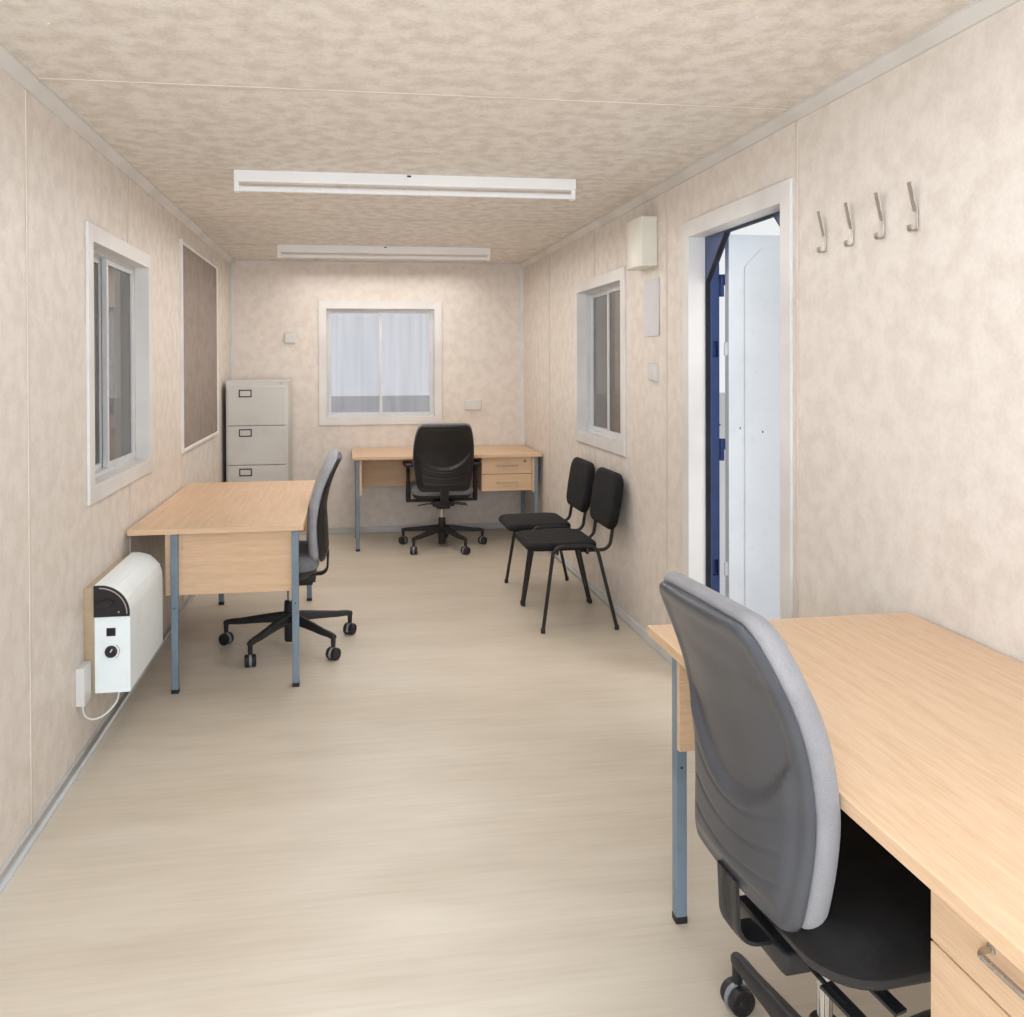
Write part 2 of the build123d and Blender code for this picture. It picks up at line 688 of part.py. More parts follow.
def cove(side):
    """The trim between a side wall and the ceiling."""
    outline = [(0, 0), (COVE, 0), (COVE, -COVE_LIP), (COVE_LIP, -COVE), (0, -COVE)]
    start = Plane((-HALF_WIDTH, -HALF_ROOM, CEILING_Z), x_dir=(1, 0, 0), z_dir=(0, -1, 0))
    trim = prism(start, outline, -ROOM_LENGTH)
    return trim if side < 0 else mirror(trim, about=Plane.YZ)


def corner_trims(end):
    """The white angles in an end wall's two corners and the thin strip along its top."""
    y = sorted((end * HALF_ROOM, end * (HALF_ROOM - CORNER_TRIM_THICKNESS)))
    y_leg = sorted((end * HALF_ROOM, end * (HALF_ROOM - CORNER_TRIM)))
    rise = (FLOOR + SKIRTING_HEIGHT, CEILING_Z - COVE)
    pieces = []
    for side in (-1, 1):
        x = sorted((side * HALF_WIDTH, side * (HALF_WIDTH - CORNER_TRIM)))
        x_leg = sorted((side * HALF_WIDTH, side * (HALF_WIDTH - CORNER_TRIM_THICKNESS)))
        pieces.append(block(x, y, rise) + block(x_leg, y_leg, rise))
    pieces.append(block((COVE - HALF_WIDTH, HALF_WIDTH - COVE), y, (CEILING_Z - END_TRIM_HEIGHT, CEILING_Z)))
    return pieces


def skirtings():
    """Skirting round the room, left out across the doorway."""
    rise = (FLOOR, FLOOR + SKIRTING_HEIGHT)
    door = grow(DOOR_SPAN, DOOR_CASING_WIDTH)
    wall = (HALF_WIDTH - SKIRTING_DEPTH, HALF_WIDTH)
    pieces = [block((-HALF_WIDTH, SKIRTING_DEPTH - HALF_WIDTH), (-HALF_ROOM, HALF_ROOM), rise),
              block(wall, (-HALF_ROOM, door[0]), rise),
              block(wall, (door[1], HALF_ROOM), rise)]
    across = (SKIRTING_DEPTH - HALF_WIDTH, HALF_WIDTH - SKIRTING_DEPTH)
    for end in (-1, 1):
        pieces.append(block(across, sorted((end * HALF_ROOM, end * (HALF_ROOM - SKIRTING_DEPTH))), rise))
    return pieces


def light_places():
    """The lights lie across the room on every second joint of the ceiling sheets."""
    return sheet_joints()[1::2]


def light_body(y):
    """The white batten of a light with a tube holder at each end."""
    foot = CEILING_Z - LIGHT_BODY_HEIGHT
    half = LIGHT_LENGTH / 2
    body = block((-half, half), (y - LIGHT_BODY_WIDTH / 2, y + LIGHT_BODY_WIDTH / 2), (foot, CEILING_Z))
    body = fillet(body.edges().filter_by(Axis.X).group_by(Axis.Z)[0], 8)
    for end in (-1, 1):
        x = sorted((end * half, end * (half - 20)))
        body += block(x, (y - LIGHT_HOLDER / 2, y + LIGHT_HOLDER / 2), (foot - TUBE_DROP - 16, foot))
    return body


def light_tube(y):
    """The tube between its two holders."""
    reach = LIGHT_LENGTH / 2 - 20
    z = CEILING_Z - LIGHT_BODY_HEIGHT - TUBE_DROP
    return rod((-reach, y, z), (reach, y, z), TUBE_RADIUS)


def consumer_unit():
    """The cream box over the switch, with a cover that bows out a little."""
    rise = (FLOOR + CONSUMER_RISE[0], FLOOR + CONSUMER_RISE[1])
    x = HALF_WIDTH - CONSUMER_DEPTH
    middle_y = (CONSUMER_SPAN[0] + CONSUMER_SPAN[1]) / 2
    bow = 12
    plane = Plane((0, 0, rise[0]))
    outline = make_face([Line((HALF_WIDTH, CONSUMER_SPAN[0]), (HALF_WIDTH, CONSUMER_SPAN[1])),
                         Line((HALF_WIDTH, CONSUMER_SPAN[1]), (x + bow, CONSUMER_SPAN[1])),
                         ThreePointArc((x + bow, CONSUMER_SPAN[1]), (x, middle_y),
                                       (x + bow, CONSUMER_SPAN[0])),
                         Line((x + bow, CONSUMER_SPAN[0]), (HALF_WIDTH, CONSUMER_SPAN[0]))])
    return extrude(plane * outline, rise[1] - rise[0])


def face_plate(wall, centre, height, width, depth):
    """A moulded electrical plate on a wall, with softened front edges."""
    z = FLOOR + height
    plate = on_wall(wall, (centre - width / 2, centre + width / 2),
                    (z - SINGLE_PLATE / 2, z + SINGLE_PLATE / 2), (-depth, 0))
    front = Plane(wall.origin - wall.z_dir * depth, z_dir=wall.z_dir)
    edges = [edge for edge in plate.edges() if abs(front.to_local_coords(edge.center()).Z) < 0.01]
    return chamfer(edges, 4)


def coat_hook(y):
    """A bent strip: its foot lies on the wall, its top leans out, and a short hook turns up below."""
    foot = FLOOR + HOOK_FOOT_Z
    wall_x = HALF_WIDTH
    near_x = wall_x - HOOK_REACH
    out = HOOK_REACH - HOOK_STEEL
    points = [(wall_x, foot + HOOK_KINK), (wall_x, foot + HOOK_STEEL), (wall_x - HOOK_STEEL, foot),
              (wall_x - out + HOOK_STEEL, foot), (near_x, foot + HOOK_TIP),
              (near_x + HOOK_STEEL, foot + HOOK_TIP + 1), (wall_x - out + 2 * HOOK_STEEL, foot + HOOK_STEEL),
              (wall_x - HOOK_STEEL, foot + HOOK_STEEL), (wall_x - HOOK_STEEL, foot + HOOK_KINK),
              (near_x, foot + HOOK_HEIGHT), (near_x + HOOK_STEEL, foot + HOOK_HEIGHT + 1)]
    return prism(Plane((0, y + HOOK_WIDTH / 2, 0), x_dir=(1, 0, 0), z_dir=(0, -1, 0)), points, HOOK_WIDTH)


def notice_board():
    """A felt board in a thin frame."""
    rise = (FLOOR + BOARD_RISE[0], FLOOR + BOARD_RISE[1])
    board = block((-HALF_WIDTH, BOARD_DEPTH - HALF_WIDTH), BOARD_SPAN, rise)
    return board - block((BOARD_FELT - HALF_WIDTH, BOARD_DEPTH - HALF_WIDTH), grow(BOARD_SPAN, -BOARD_FRAME),
                         grow(rise, -BOARD_FRAME))


# Heater, spur box and flex

def heater_outline(foot):
    """The heater's end outline above a level: flat back and top, and a rounded shoulder down to the front."""
    back = HEATER_STANDOFF - HALF_WIDTH
    front = back + HEATER_DEPTH
    top = FLOOR + HEATER_RISE[1]
    centre = (front - HEATER_NOSE, top - HEATER_NOSE)
    middle = HEATER_NOSE * cos(pi / 4)
    return make_face([Line((back, foot), (front, foot)),
                      Line((front, foot), (front, centre[1])),
                      ThreePointArc((front, centre[1]), (centre[0] + middle, centre[1] + middle),
                                    (centre[0], top)),
                      Line((centre[0], top), (back, top)),
                      Line((back, top), (back, foot))])


def along_heater(outline, span):
    """An end outline of the heater, drawn out along the wall."""
    start = Plane((0, span[1], 0), x_dir=(1, 0, 0), z_dir=(0, -1, 0))
    return extrude(start * outline, span[1] - span[0])


def heater_caps():
    """The black caps that close the rounded shoulder at both ends."""
    outline = heater_outline(FLOOR + HEATER_RISE[1] - HEATER_NOSE - HEATER_CAP)
    return [along_heater(outline, (HEATER_SPAN[0], HEATER_SPAN[0] + HEATER_CAP)),
            along_heater(outline, (HEATER_SPAN[1] - HEATER_CAP, HEATER_SPAN[1]))]


def heater_bracket():
    """The box that holds the heater off the wall."""
    return block((-HALF_WIDTH, HEATER_STANDOFF - HALF_WIDTH), HEATER_SPAN,
                 (FLOOR + HEATER_RISE[0], FLOOR + HEATER_RISE[1] - HEATER_CAP))


SPUR_X = SPUR_DEPTH / 2 - HALF_WIDTH
SPUR_FOOT = FLOOR + SPUR_RISE[0]
HEATER_FOOT = FLOOR + HEATER_RISE[0]
HEATER_ENTRY = (HEATER_STANDOFF - HALF_WIDTH + 78, HEATER_SPAN[0] + 24)

# The flex leaves the spur's underside, hangs in a U and enters the heater's underside.
FLEX_ROUTE = [(SPUR_X, -20, SPUR_FOOT),
              (SPUR_X, -20, SPUR_FOOT - 30),
              (SPUR_X + 10, -10, SPUR_FOOT - 56),
              (SPUR_X + 30, 12, SPUR_FOOT - 73),
              (SPUR_X + 57, 38, SPUR_FOOT - 70),
              (SPUR_X + 82, 59, SPUR_FOOT - 49),
              (*HEATER_ENTRY, HEATER_FOOT - 30),
              (*HEATER_ENTRY, HEATER_FOOT)]


def flex_radii(points):
    """At each corner, the radius whose tangents use 0.45 of the shorter run."""
    radii = []
    for before, corner, after in zip(points, points[1:], points[2:]):
        first = Vector(*corner) - Vector(*before)
        second = Vector(*after) - Vector(*corner)
        half_turn = radians(first.get_angle(second)) / 2
        radii.append(0.45 * min(first.length, second.length) / tan(half_turn))
    return radii


# Furniture

def desk(height, front_inset):
    """A desk in its own frame: X along it, Y from its user's edge to its rear, and Z up from the floor."""
    under = height - DESK_TOP
    top = chamfer(block((0, DESK_LENGTH), (0, DESK_DEPTH), (under, height)).edges().group_by(Axis.Z)[-1], 1.5)
    front = (front_inset, front_inset + DESK_LEG)
    rear = (DESK_DEPTH - DESK_REAR_INSET - DESK_LEG, DESK_DEPTH - DESK_REAR_INSET)
    low = (DESK_END_INSET, DESK_END_INSET + DESK_LEG)
    high = (DESK_LENGTH - low[1], DESK_LENGTH - low[0])
    legs = [block(x, y, (0, under)) for x in (low, high) for y in (front, rear)]
    rise = (under - DESK_PANEL_RISE, under)
    across = (front[0] + 2, rear[1] + PANEL_OVERHANG)
    panels = [block((low[1], low[1] + DESK_PANEL), across, rise),
              block((high[0] - DESK_PANEL, high[0]), across, rise),
              block((low[1] + DESK_PANEL, high[0] - DESK_PANEL), (rear[0] - DESK_PANEL, rear[0]), rise)]
    return top, legs, panels


def drawer_unit(height, front_inset, low):
    """A hung drawer unit in a desk's frame: a carcass, drawer fronts and bow pulls."""
    under = height - DESK_TOP
    foot = under - DRAWER_UNIT_HEIGHT
    front = front_inset + DESK_LEG
    span = (low, low + DRAWER_WIDTH)
    rear = DESK_DEPTH - DESK_REAR_INSET - DESK_LEG - DESK_PANEL
    pieces = [block(span, (front, rear), (foot, under))]
    pulls = []
    pitch = DRAWER_UNIT_HEIGHT / DRAWER_COUNT
    centre = (span[0] + span[1]) / 2
    for k in range(DRAWER_COUNT):
        face_foot = foot + k * pitch + DRAWER_GAP / 2
        pieces.append(block(grow(span, -DRAWER_GAP / 2), (front - DRAWER_FRONT, front),
                            (face_foot, face_foot + pitch - DRAWER_GAP)))
        y = front - DRAWER_FRONT
        z = foot + (k + 0.5) * pitch
        points = [(centre - PULL_LENGTH / 2, y, z), (centre - PULL_LENGTH / 2, y - PULL_REACH, z),
                  (centre + PULL_LENGTH / 2, y - PULL_REACH, z), (centre + PULL_LENGTH / 2, y, z)]
        pulls.append(tube(points, PULL_REACH * 0.6, PULL_RADIUS))
    return union(pieces), pulls


def filing_cabinet():
    """The cabinet's carcass with its drawer fronts standing a little proud."""
    back = HALF_ROOM - CABINET_WALL_GAP
    front = back - CABINET_DEPTH
    x = (CABINET_LEFT, CABINET_LEFT + CABINET_WIDTH)
    carcass = block(x, (front + CABINET_FRONT, back), (FLOOR, FLOOR + CABINET_HEIGHT))
    drawer_zone = CABINET_HEIGHT - CABINET_PLINTH - CABINET_HEAD
    pitch = drawer_zone / CABINET_DRAWERS
    for k in range(CABINET_DRAWERS):
        foot = FLOOR + CABINET_PLINTH + k * pitch
        carcass += block(grow(x, -14), (front, front + CABINET_FRONT), (foot, foot + pitch - CABINET_GAP))
    return carcass


def on_floor(x, y, turn, lift=0):
    """A place in the room, turned about its upright axis and raised from the floor."""
    return Pos(x, y, FLOOR + lift) * Rot(0, 0, turn)


def star_base(lift):
    """A five-legged star with its sleeve and gas lift."""
    sleeve = rod((0, 0, COLUMN_FOOT), (0, 0, COLUMN_HEAD), COLUMN_RADIUS)
    stem = rod((0, 0, COLUMN_HEAD), (0, 0, SEAT_UNDERSIDE + lift), LIFT_RADIUS)
    hub = rod((0, 0, STAR_TIP_HEIGHT - STAR_TIP_DEPTH), (0, 0, STAR_CROWN), STAR_HUB)
    root = Plane((0, 0, STAR_CROWN - STAR_LEG_DEPTH / 2), x_dir=(0, 1, 0), z_dir=(1, 0, 0))
    tip = Plane((STAR_RADIUS + STAR_TIP_WIDTH / 2, 0, STAR_TIP_HEIGHT - STAR_TIP_DEPTH / 2), x_dir=(0, 1, 0),
                z_dir=(1, 0, 0))
    leg = loft([root * Rectangle(STAR_LEG_WIDTH, STAR_LEG_DEPTH), tip * Rectangle(STAR_TIP_WIDTH, STAR_TIP_DEPTH)])
    return union([hub, sleeve, stem] + [Rot(0, 0, k * 360 / STAR_LEGS) * leg for k in range(STAR_LEGS)])


def castors():
    """A twin-wheel castor under the tip of each leg of the star."""
    half_gap = CASTOR_SPREAD / 2
    wheels = [rod((0, side * half_gap, CASTOR_RADIUS), (0, side * (half_gap + CASTOR_WHEEL), CASTOR_RADIUS),
                  CASTOR_RADIUS) for side in (-1, 1)]
    stem = block((-9, 9), (-half_gap, half_gap), (CASTOR_RADIUS - 8, STAR_TIP_HEIGHT - STAR_TIP_DEPTH))
    castor = union(wheels + [stem])
    return [Rot(0, 0, k * 360 / STAR_LEGS) * Pos(STAR_RADIUS, 0, 0) * castor for k in range(STAR_LEGS)]


# The places across the backrest, as shares of its half width, at which its section is drawn
BACK_SHARES = (-1, -0.5, 0, 0.5, 1)


def back_section(x, front, rear):
    """The backrest's side section at a distance from its middle, between two lists of depths."""
    heights = [height for height, edge, middle in BACK_PROFILE]
    front_points = [(-depth, height) for depth, height in zip(front, heights)]
    rear_points = [(-depth, height) for depth, height in zip(rear, heights)]
    outline = make_face([Spline(*front_points), Line(front_points[-1], rear_points[-1]),
                         Spline(*reversed(rear_points)), Line(rear_points[0], front_points[0])])
    return Plane((x, 0, 0), x_dir=(0, 1, 0), z_dir=(1, 0, 0)) * outline


def back_outline(rise, margin):
    """A rounded front elevation between two heights of the backrest, extruded through its whole depth."""
    low, high = rise
    half = BACK_WIDTH / 2 - margin
    shoulder = low + BACK_SHOULDER
    points = [(-half * 0.87, low), (half * 0.87, low), (half, shoulder), (half * 0.83, high),
              (-half * 0.83, high), (-half, shoulder)]
    outline = fillet(make_face(Polyline(*points, close=True)).vertices(), BACK_CORNER)
    return extrude(Plane((0, 0, 0), x_dir=(1, 0, 0), z_dir=(0, -1, 0)) * outline, 2 * BACK_WIDTH)


def back_shell():
    """The plastic shell behind the back cushion: thin at its rim, deeper in its middle, with a housing below."""
    edges = [edge for height, edge, middle in BACK_PROFILE]
    half = BACK_WIDTH / 2
    sections = []
    for share in BACK_SHARES:
        rear = [edge + BACK_RIM + (middle - edge - BACK_RIM) * (1 - share ** 2)
                for height, edge, middle in BACK_PROFILE]
        sections.append(back_section(share * half, edges, rear))
    foot = SHELL_RISE[0]
    housing = [(-200, foot), (-257, foot), (-252, foot + 110), (-234, foot + 190), (-200, foot + 190)]
    lump = prism(Plane((-BACK_HOUSING, 0, 0), x_dir=(0, 1, 0), z_dir=(1, 0, 0)), housing, 2 * BACK_HOUSING)
    return (loft(sections) + lump) & back_outline(SHELL_RISE, 0)


def back_cushion():
    """The back cushion on the front of the shell: thin at its rim, thicker in its middle."""
    rear = [edge - SOFT_GAP for height, edge, middle in BACK_PROFILE]
    half = BACK_WIDTH / 2
    sections = []
    for share in BACK_SHARES:
        thickness = BACK_CUSHION_RIM + (BACK_CUSHION - BACK_CUSHION_RIM) * (1 - share ** 2)
        front = [edge - thickness for height, edge, middle in BACK_PROFILE]
        sections.append(back_section(share * half, front, rear))
    return loft(sections) & back_outline(CUSHION_RISE, 4)


def seat_mechanism():
    """The mechanism under the seat, the seat pan, and the bar that rises to the backrest."""
    top = SEAT_UNDERSIDE + SEAT_BOX
    box = block((-85, 85), (-140, 100), (SEAT_UNDERSIDE, top))
    pan = Pos(0, SEAT_FORWARD, top) * extrude(RectangleRounded(SEAT_WIDTH - 20, SEAT_DEPTH - 20, 90), SEAT_PAN)
    low = top - 2 * BACK_BAR
    rear = -BACK_BAR_REACH
    head = SHELL_RISE[0]
    outline = [(-120, low), (rear + 28, low), (rear, low + 28), (rear, head), (rear + BACK_BAR, head),
               (rear + BACK_BAR, low + 32), (rear + 32, low + BACK_BAR), (-120, low + BACK_BAR)]
    bar = prism(Plane((-BACK_BAR_WIDTH / 2, 0, 0), x_dir=(0, 1, 0), z_dir=(1, 0, 0)), outline, BACK_BAR_WIDTH)
    return union([box, pan, bar])


def seat_cushion():
    """The seat cushion, a thick rounded slab on the pan."""
    foot = SEAT_UNDERSIDE + SEAT_BOX + SEAT_PAN
    slab = Pos(0, SEAT_FORWARD, foot) * extrude(RectangleRounded(SEAT_WIDTH, SEAT_DEPTH, 110), SEAT_CUSHION)
    return fillet(slab.edges().group_by(Axis.Z)[-1], 40)


def arm_rest(side):
    """An upright from under the seat with a pad on top."""
    x = side * ARM_X
    low = SEAT_UNDERSIDE + SEAT_BOX - 2 * BACK_BAR
    strut = block(sorted((side * 85, x)), (-25, 25), (low, SEAT_UNDERSIDE + SEAT_BOX))
    upright = block((x - ARM_POST / 2, x + ARM_POST / 2), (-25, 25), (low, ARM_HEIGHT))
    width, length, thickness = ARM_PAD
    pad = Pos(x, 0, ARM_HEIGHT) * extrude(RectangleRounded(width, length, 25), thickness)
    return union([strut, upright, fillet(pad.edges().group_by(Axis.Z)[-1], 8)])


def upright_y(height):
    """How far back the visitor chair's leaning upright stands at a height."""
    return VISITOR_BACK_Y - VISITOR_LEAN * (height - VISITOR_SEAT_HEIGHT)


def visitor_upright(side):
    """The tube that runs back from under the seat and rises into the backrest."""
    bar_z = VISITOR_SEAT_HEIGHT - VISITOR_TUBE
    x = side * (VISITOR_BACK_WIDTH / 2 - VISITOR_UPRIGHT_INSET)
    top = VISITOR_BACK_TOP - VISITOR_BACK_HEIGHT / 2
    return tube([(x, -60, bar_z), (x, upright_y(bar_z), bar_z), (x, upright_y(top), top)], VISITOR_BEND,
                VISITOR_TUBE)


def visitor_frame():
    """A stacking chair's bent-tube frame: a hoop at each side of the seat, bars under it and two uprights."""
    half = VISITOR_WIDTH / 2 - VISITOR_TUBE
    hoop_z = VISITOR_SEAT_HEIGHT + VISITOR_PAD * 0.6
    bar_z = VISITOR_SEAT_HEIGHT - VISITOR_TUBE
    pieces = []
    for side in (-1, 1):
        x = side * half
        foot_x = side * (half + VISITOR_SPLAY)
        feet = [(foot_x, VISITOR_FRONT_FOOT, VISITOR_FOOT), (foot_x, VISITOR_REAR_FOOT, VISITOR_FOOT)]
        front, rear = VISITOR_HOOP
        pieces.append(tube([feet[0], (x, front, hoop_z), (x, rear, hoop_z), feet[1]], VISITOR_BEND, VISITOR_TUBE))
        for foot in feet:
            pieces.append(rod((foot[0], foot[1], 0), (foot[0], foot[1], VISITOR_FOOT + VISITOR_TUBE),
                              VISITOR_TUBE + 1))
        pieces.append(visitor_upright(side))
    for y in (VISITOR_HOOP[0] - 20, VISITOR_HOOP[1] + 50):
        pieces.append(rod((-half, y, bar_z), (half, y, bar_z), VISITOR_TUBE * 0.8))
        for side in (-1, 1):
            pieces.append(rod((side * half, y, bar_z), (side * half, y, hoop_z), VISITOR_TUBE * 0.8))
    return union(pieces)


def visitor_seat():
    """The padded seat, on the bars and between the hoops."""
    width = VISITOR_WIDTH - 4 * VISITOR_TUBE - 2 * VISITOR_SIDE_GAP
    slab = Pos(0, VISITOR_SEAT_FORWARD, VISITOR_SEAT_HEIGHT + SOFT_GAP) * extrude(
        RectangleRounded(width, VISITOR_SEAT_DEPTH, 70), VISITOR_PAD)
    return fillet(slab.edges().group_by(Axis.Z)[-1], 16)


def visitor_back():
    """The padded back on the heads of the uprights, leaning with them."""
    lean = degrees(atan(VISITOR_LEAN))
    slab = extrude(RectangleRounded(VISITOR_BACK_WIDTH, VISITOR_BACK_HEIGHT, 80), VISITOR_BACK_PAD)
    upright = Rot(90, 0, 0) * Pos(0, 0, -VISITOR_BACK_PAD) * slab
    middle = VISITOR_BACK_TOP - VISITOR_BACK_HEIGHT / 2
    back = Pos(0, upright_y(middle) - VISITOR_UPRIGHT_SEAT, middle) * Rot(lean, 0, 0) * upright
    return back - visitor_upright(-1) - visitor_upright(1)


os.makedirs("parts", exist_ok=True)

# Frame and floor
save("base_rails", *[side_channel(s, 0, BASE_HEIGHT) for s in (-1, 1)],
     *[end_channel(e, 0, BASE_HEIGHT) for e in (-1, 1)])
save("roof_rails", *[side_channel(s, WALL_TOP, ROOF_Z) for s in (-1, 1)],
     *[end_channel(e, WALL_TOP, ROOF_Z) for e in (-1, 1)])
save("floor_joists", *[floor_joist(y) for y in joist_places()])
save("roof_joists", *[roof_joist(y) for y in joist_places()])
save("floor_deck", block((-HALF_WIDTH, HALF_WIDTH), (-HALF_ROOM, HALF_ROOM), (BASE_HEIGHT, FLOOR))
     + block((HALF_WIDTH, PANEL_FACE), DOOR_CUT, (BASE_HEIGHT, FLOOR)))
save("ceiling_lining", block((-HALF_WIDTH, HALF_WIDTH), (-HALF_ROOM, HALF_ROOM), (CEILING_Z, WALL_TOP)))
save("roof_sheet", roof_sheet())
save("corner_posts", *[corner_post(x, y) for x in (-1, 1) for y in (-1, 1)])
save("lifting_eyes", *[lifting_eye(x, y) for x in (-1, 1) for y in (-1, 1)])

# Walls
PANEL_RISE = (BASE_HEIGHT, WALL_TOP)
save("left_wall", wall_panel(LEFT_WALL, (-HALF_ROOM, HALF_ROOM), PANEL_RISE, -LEFT_WINDOW_Y))
save("right_wall_near", wall_panel(RIGHT_WALL, (-HALF_ROOM, DOOR_CUT[0]), PANEL_RISE))
save("right_wall_far", wall_panel(RIGHT_WALL, (DOOR_CUT[1], HALF_ROOM), PANEL_RISE, RIGHT_WINDOW_Y))
save("right_wall_over_door", wall_panel(RIGHT_WALL, DOOR_CUT, (DOOR_CUT_HEAD, WALL_TOP)))
save("far_end_wall", wall_panel(FAR_WALL, (-HALF_WIDTH, HALF_WIDTH), PANEL_RISE, 0))
save("near_end_wall", wall_panel(NEAR_WALL, (-HALF_WIDTH, HALF_WIDTH), PANEL_RISE, 0))
door_hole = block((HALF_WIDTH, OUTER_X + WALL), grow((DOOR_Y, DOOR_Y), REBATE_HALF + DOOR_FRAME_FACE),
                  (BASE_HEIGHT, REBATE_HEAD + DOOR_FRAME_FACE))
save("cladding", clad_wall(LEFT_WALL, HALF_ROOM, -LEFT_WINDOW_Y),
     clad_wall(RIGHT_WALL, HALF_ROOM, RIGHT_WINDOW_Y) - door_hole,
     clad_wall(FAR_WALL, HALF_WIDTH, 0), clad_wall(NEAR_WALL, HALF_WIDTH, 0))

# Door set
save("door_frame", door_frame())
save("door_gasket", door_gasket())
save("door_casing", door_casing())
save("hinge_pins", *[hinge_half(height, False) for height in HINGE_HEIGHTS])
save("door_leaf", door_leaf())
save("door_liner", door_liner())
save("hinge_straps", *[hinge_half(height, True) for height in HINGE_HEIGHTS])
save("door_handles", *door_handles())

# Windows
places = [(wall, place) for wall, centre in WINDOWS for place in sash_places(centre)]
casings = [window_casing(wall, centre) for wall, centre in WINDOWS]
save("window_casings", *casings)
save("window_frames", *[window_frame(wall, centre) for wall, centre in WINDOWS])
save("window_sashes", *[window_sash(wall, place) for wall, place in places])
save("window_glass", *[window_pane(wall, place) for wall, place in places])

# Trims and fittings
board = notice_board()
unit = consumer_unit()
lights = [light_body(y) for y in light_places()]
casing_zones = [on_wall(wall, grow(window_span(centre), CASING_WIDTH), grow(WINDOW_RISE, CASING_WIDTH),
                        (-CASING_DEPTH, 0)) for wall, centre in WINDOWS]
board_zone = block((-HALF_WIDTH, BOARD_DEPTH - HALF_WIDTH), BOARD_SPAN,
                   (FLOOR + BOARD_RISE[0], FLOOR + BOARD_RISE[1]))
door_zone = block((HALF_WIDTH - CASING_DEPTH, HALF_WIDTH), grow(DOOR_SPAN, DOOR_CASING_WIDTH),
                  (FLOOR, DOOR_HEAD + DOOR_CASING_WIDTH))
save("sheet_strips", *room_strips(lights + casing_zones + [board_zone, door_zone]))
save("cove_trim", cove(-1), cove(1))
save("corner_trims", *corner_trims(-1), *corner_trims(1))
save("skirting", *skirtings())
save("light_bodies", *lights)
save("light_tubes", *[light_tube(y) for y in light_places()])
save("consumer_unit", unit)
save("wall_plates", face_plate(RIGHT_WALL, SWITCH_Y, SWITCH_Z, SINGLE_PLATE, PLATE_DEPTH),
     face_plate(FAR_WALL, -BLANK_PLATE_X, BLANK_PLATE_Z, SINGLE_PLATE, PLATE_DEPTH),
     face_plate(FAR_WALL, -SOCKET_X, SOCKET_Z, DOUBLE_PLATE, PLATE_DEPTH))
save("coat_hooks", *[coat_hook(y) for y in HOOK_YS])
save("notice_board", board)

# Heater
caps = heater_caps()
save("heater", along_heater(heater_outline(HEATER_FOOT), HEATER_SPAN) - union(caps))
save("heater_caps", *caps)
save("heater_bracket", heater_bracket())
save("heater_spur", block((-HALF_WIDTH, SPUR_DEPTH - HALF_WIDTH), SPUR_SPAN, (SPUR_FOOT, FLOOR + SPUR_RISE[1])))
radii = flex_radii(FLEX_ROUTE)
flex = tube(FLEX_ROUTE, radii, FLEX_RADIUS)
print("flex radii", [round(radius) for radius in radii])
print("flex length", round(flex.volume / (pi * FLEX_RADIUS ** 2)))
save("heater_flex", flex)

# Desks, on the left wall, under the far window and on the right wall
wall_edge = HALF_WIDTH - DESK_WALL_GAP - DESK_DEPTH
far_edge = HALF_ROOM - DESK_WALL_GAP - DESK_DEPTH
plain = desk(DESK_HEIGHT, DESK_FRONT_INSET)
tall = desk(NEAR_DESK_HEIGHT, NEAR_DESK_FRONT_INSET)
left_spot = on_floor(-wall_edge, LEFT_DESK_Y, 90)
far_spot = on_floor(HALF_WIDTH - DESK_WALL_GAP - DESK_LENGTH, far_edge, 0)
near_spot = on_floor(wall_edge, NEAR_DESK_Y, -90)
desks = ((left_spot, plain), (far_spot, plain), (near_spot, tall))
save("desk_tops", *[spot * top for spot, (top, legs, panels) in desks])
save("desk_legs", *[spot * leg for spot, (top, legs, panels) in desks for leg in legs])
save("desk_panels", *[spot * union(panels) for spot, (top, legs, panels) in desks])

# Drawers under the right of the far desk and the near end of the near desk
drawers_low = DESK_LENGTH - DESK_END_INSET - DESK_LEG - DESK_PANEL - DRAWER_WIDTH
far_unit, far_pulls = drawer_unit(DESK_HEIGHT, DESK_FRONT_INSET, drawers_low)
near_unit, near_pulls = drawer_unit(NEAR_DESK_HEIGHT, NEAR_DESK_FRONT_INSET, drawers_low)
save("drawer_units", far_spot * far_unit, near_spot * near_unit)
save("drawer_pulls", *[far_spot * pull for pull in far_pulls], *[near_spot * pull for pull in near_pulls])
save("filing_cabinet", filing_cabinet())

# Swivel chairs
wheels = castors()
seats = [on_floor(x, y, turn, lift) for x, y, turn, star_turn, lift in SWIVEL_CHAIRS]
stars = [on_floor(x, y, star_turn) for x, y, turn, star_turn, lift in SWIVEL_CHAIRS]
mechanism = seat_mechanism()
cushion = seat_cushion()
shell = back_shell()
back = back_cushion()
save("chair_stars", *[star * star_base(chair[-1]) for star, chair in zip(stars, SWIVEL_CHAIRS)])
save("chair_castors", *[star * wheel for star in stars for wheel in wheels])
save("chair_mechanisms", *[spot * mechanism for spot in seats])
save("chair_seats", *[spot * cushion for spot in seats])
save("chair_shells", *[spot * shell for spot in seats])
save("chair_backs", *[spot * back for spot in seats])
save("arm_rests", *[seats[ARMED_CHAIR] * arm_rest(side) for side in (-1, 1)])

# Visitor chairs
frame = visitor_frame()
seat = visitor_seat()
pad = visitor_back()
visitor_x = HALF_WIDTH - VISITOR_WALL_GAP + upright_y(VISITOR_BACK_TOP)
visitor_spots = [on_floor(visitor_x, y, 90) for y in VISITOR_YS]
save("visitor_frames", *[spot * frame for spot in visitor_spots])
save("visitor_seats", *[spot * seat for spot in visitor_spots])
save("visitor_backs", *[spot * pad for spot in visitor_spots])
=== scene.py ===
"""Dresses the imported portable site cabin: finishes, soft furnishing, fittings, camera and lamps."""

import json
import logging
import math
from dataclasses import dataclass
from enum import Enum
from typing import Callable, Iterable, Optional, Sequence

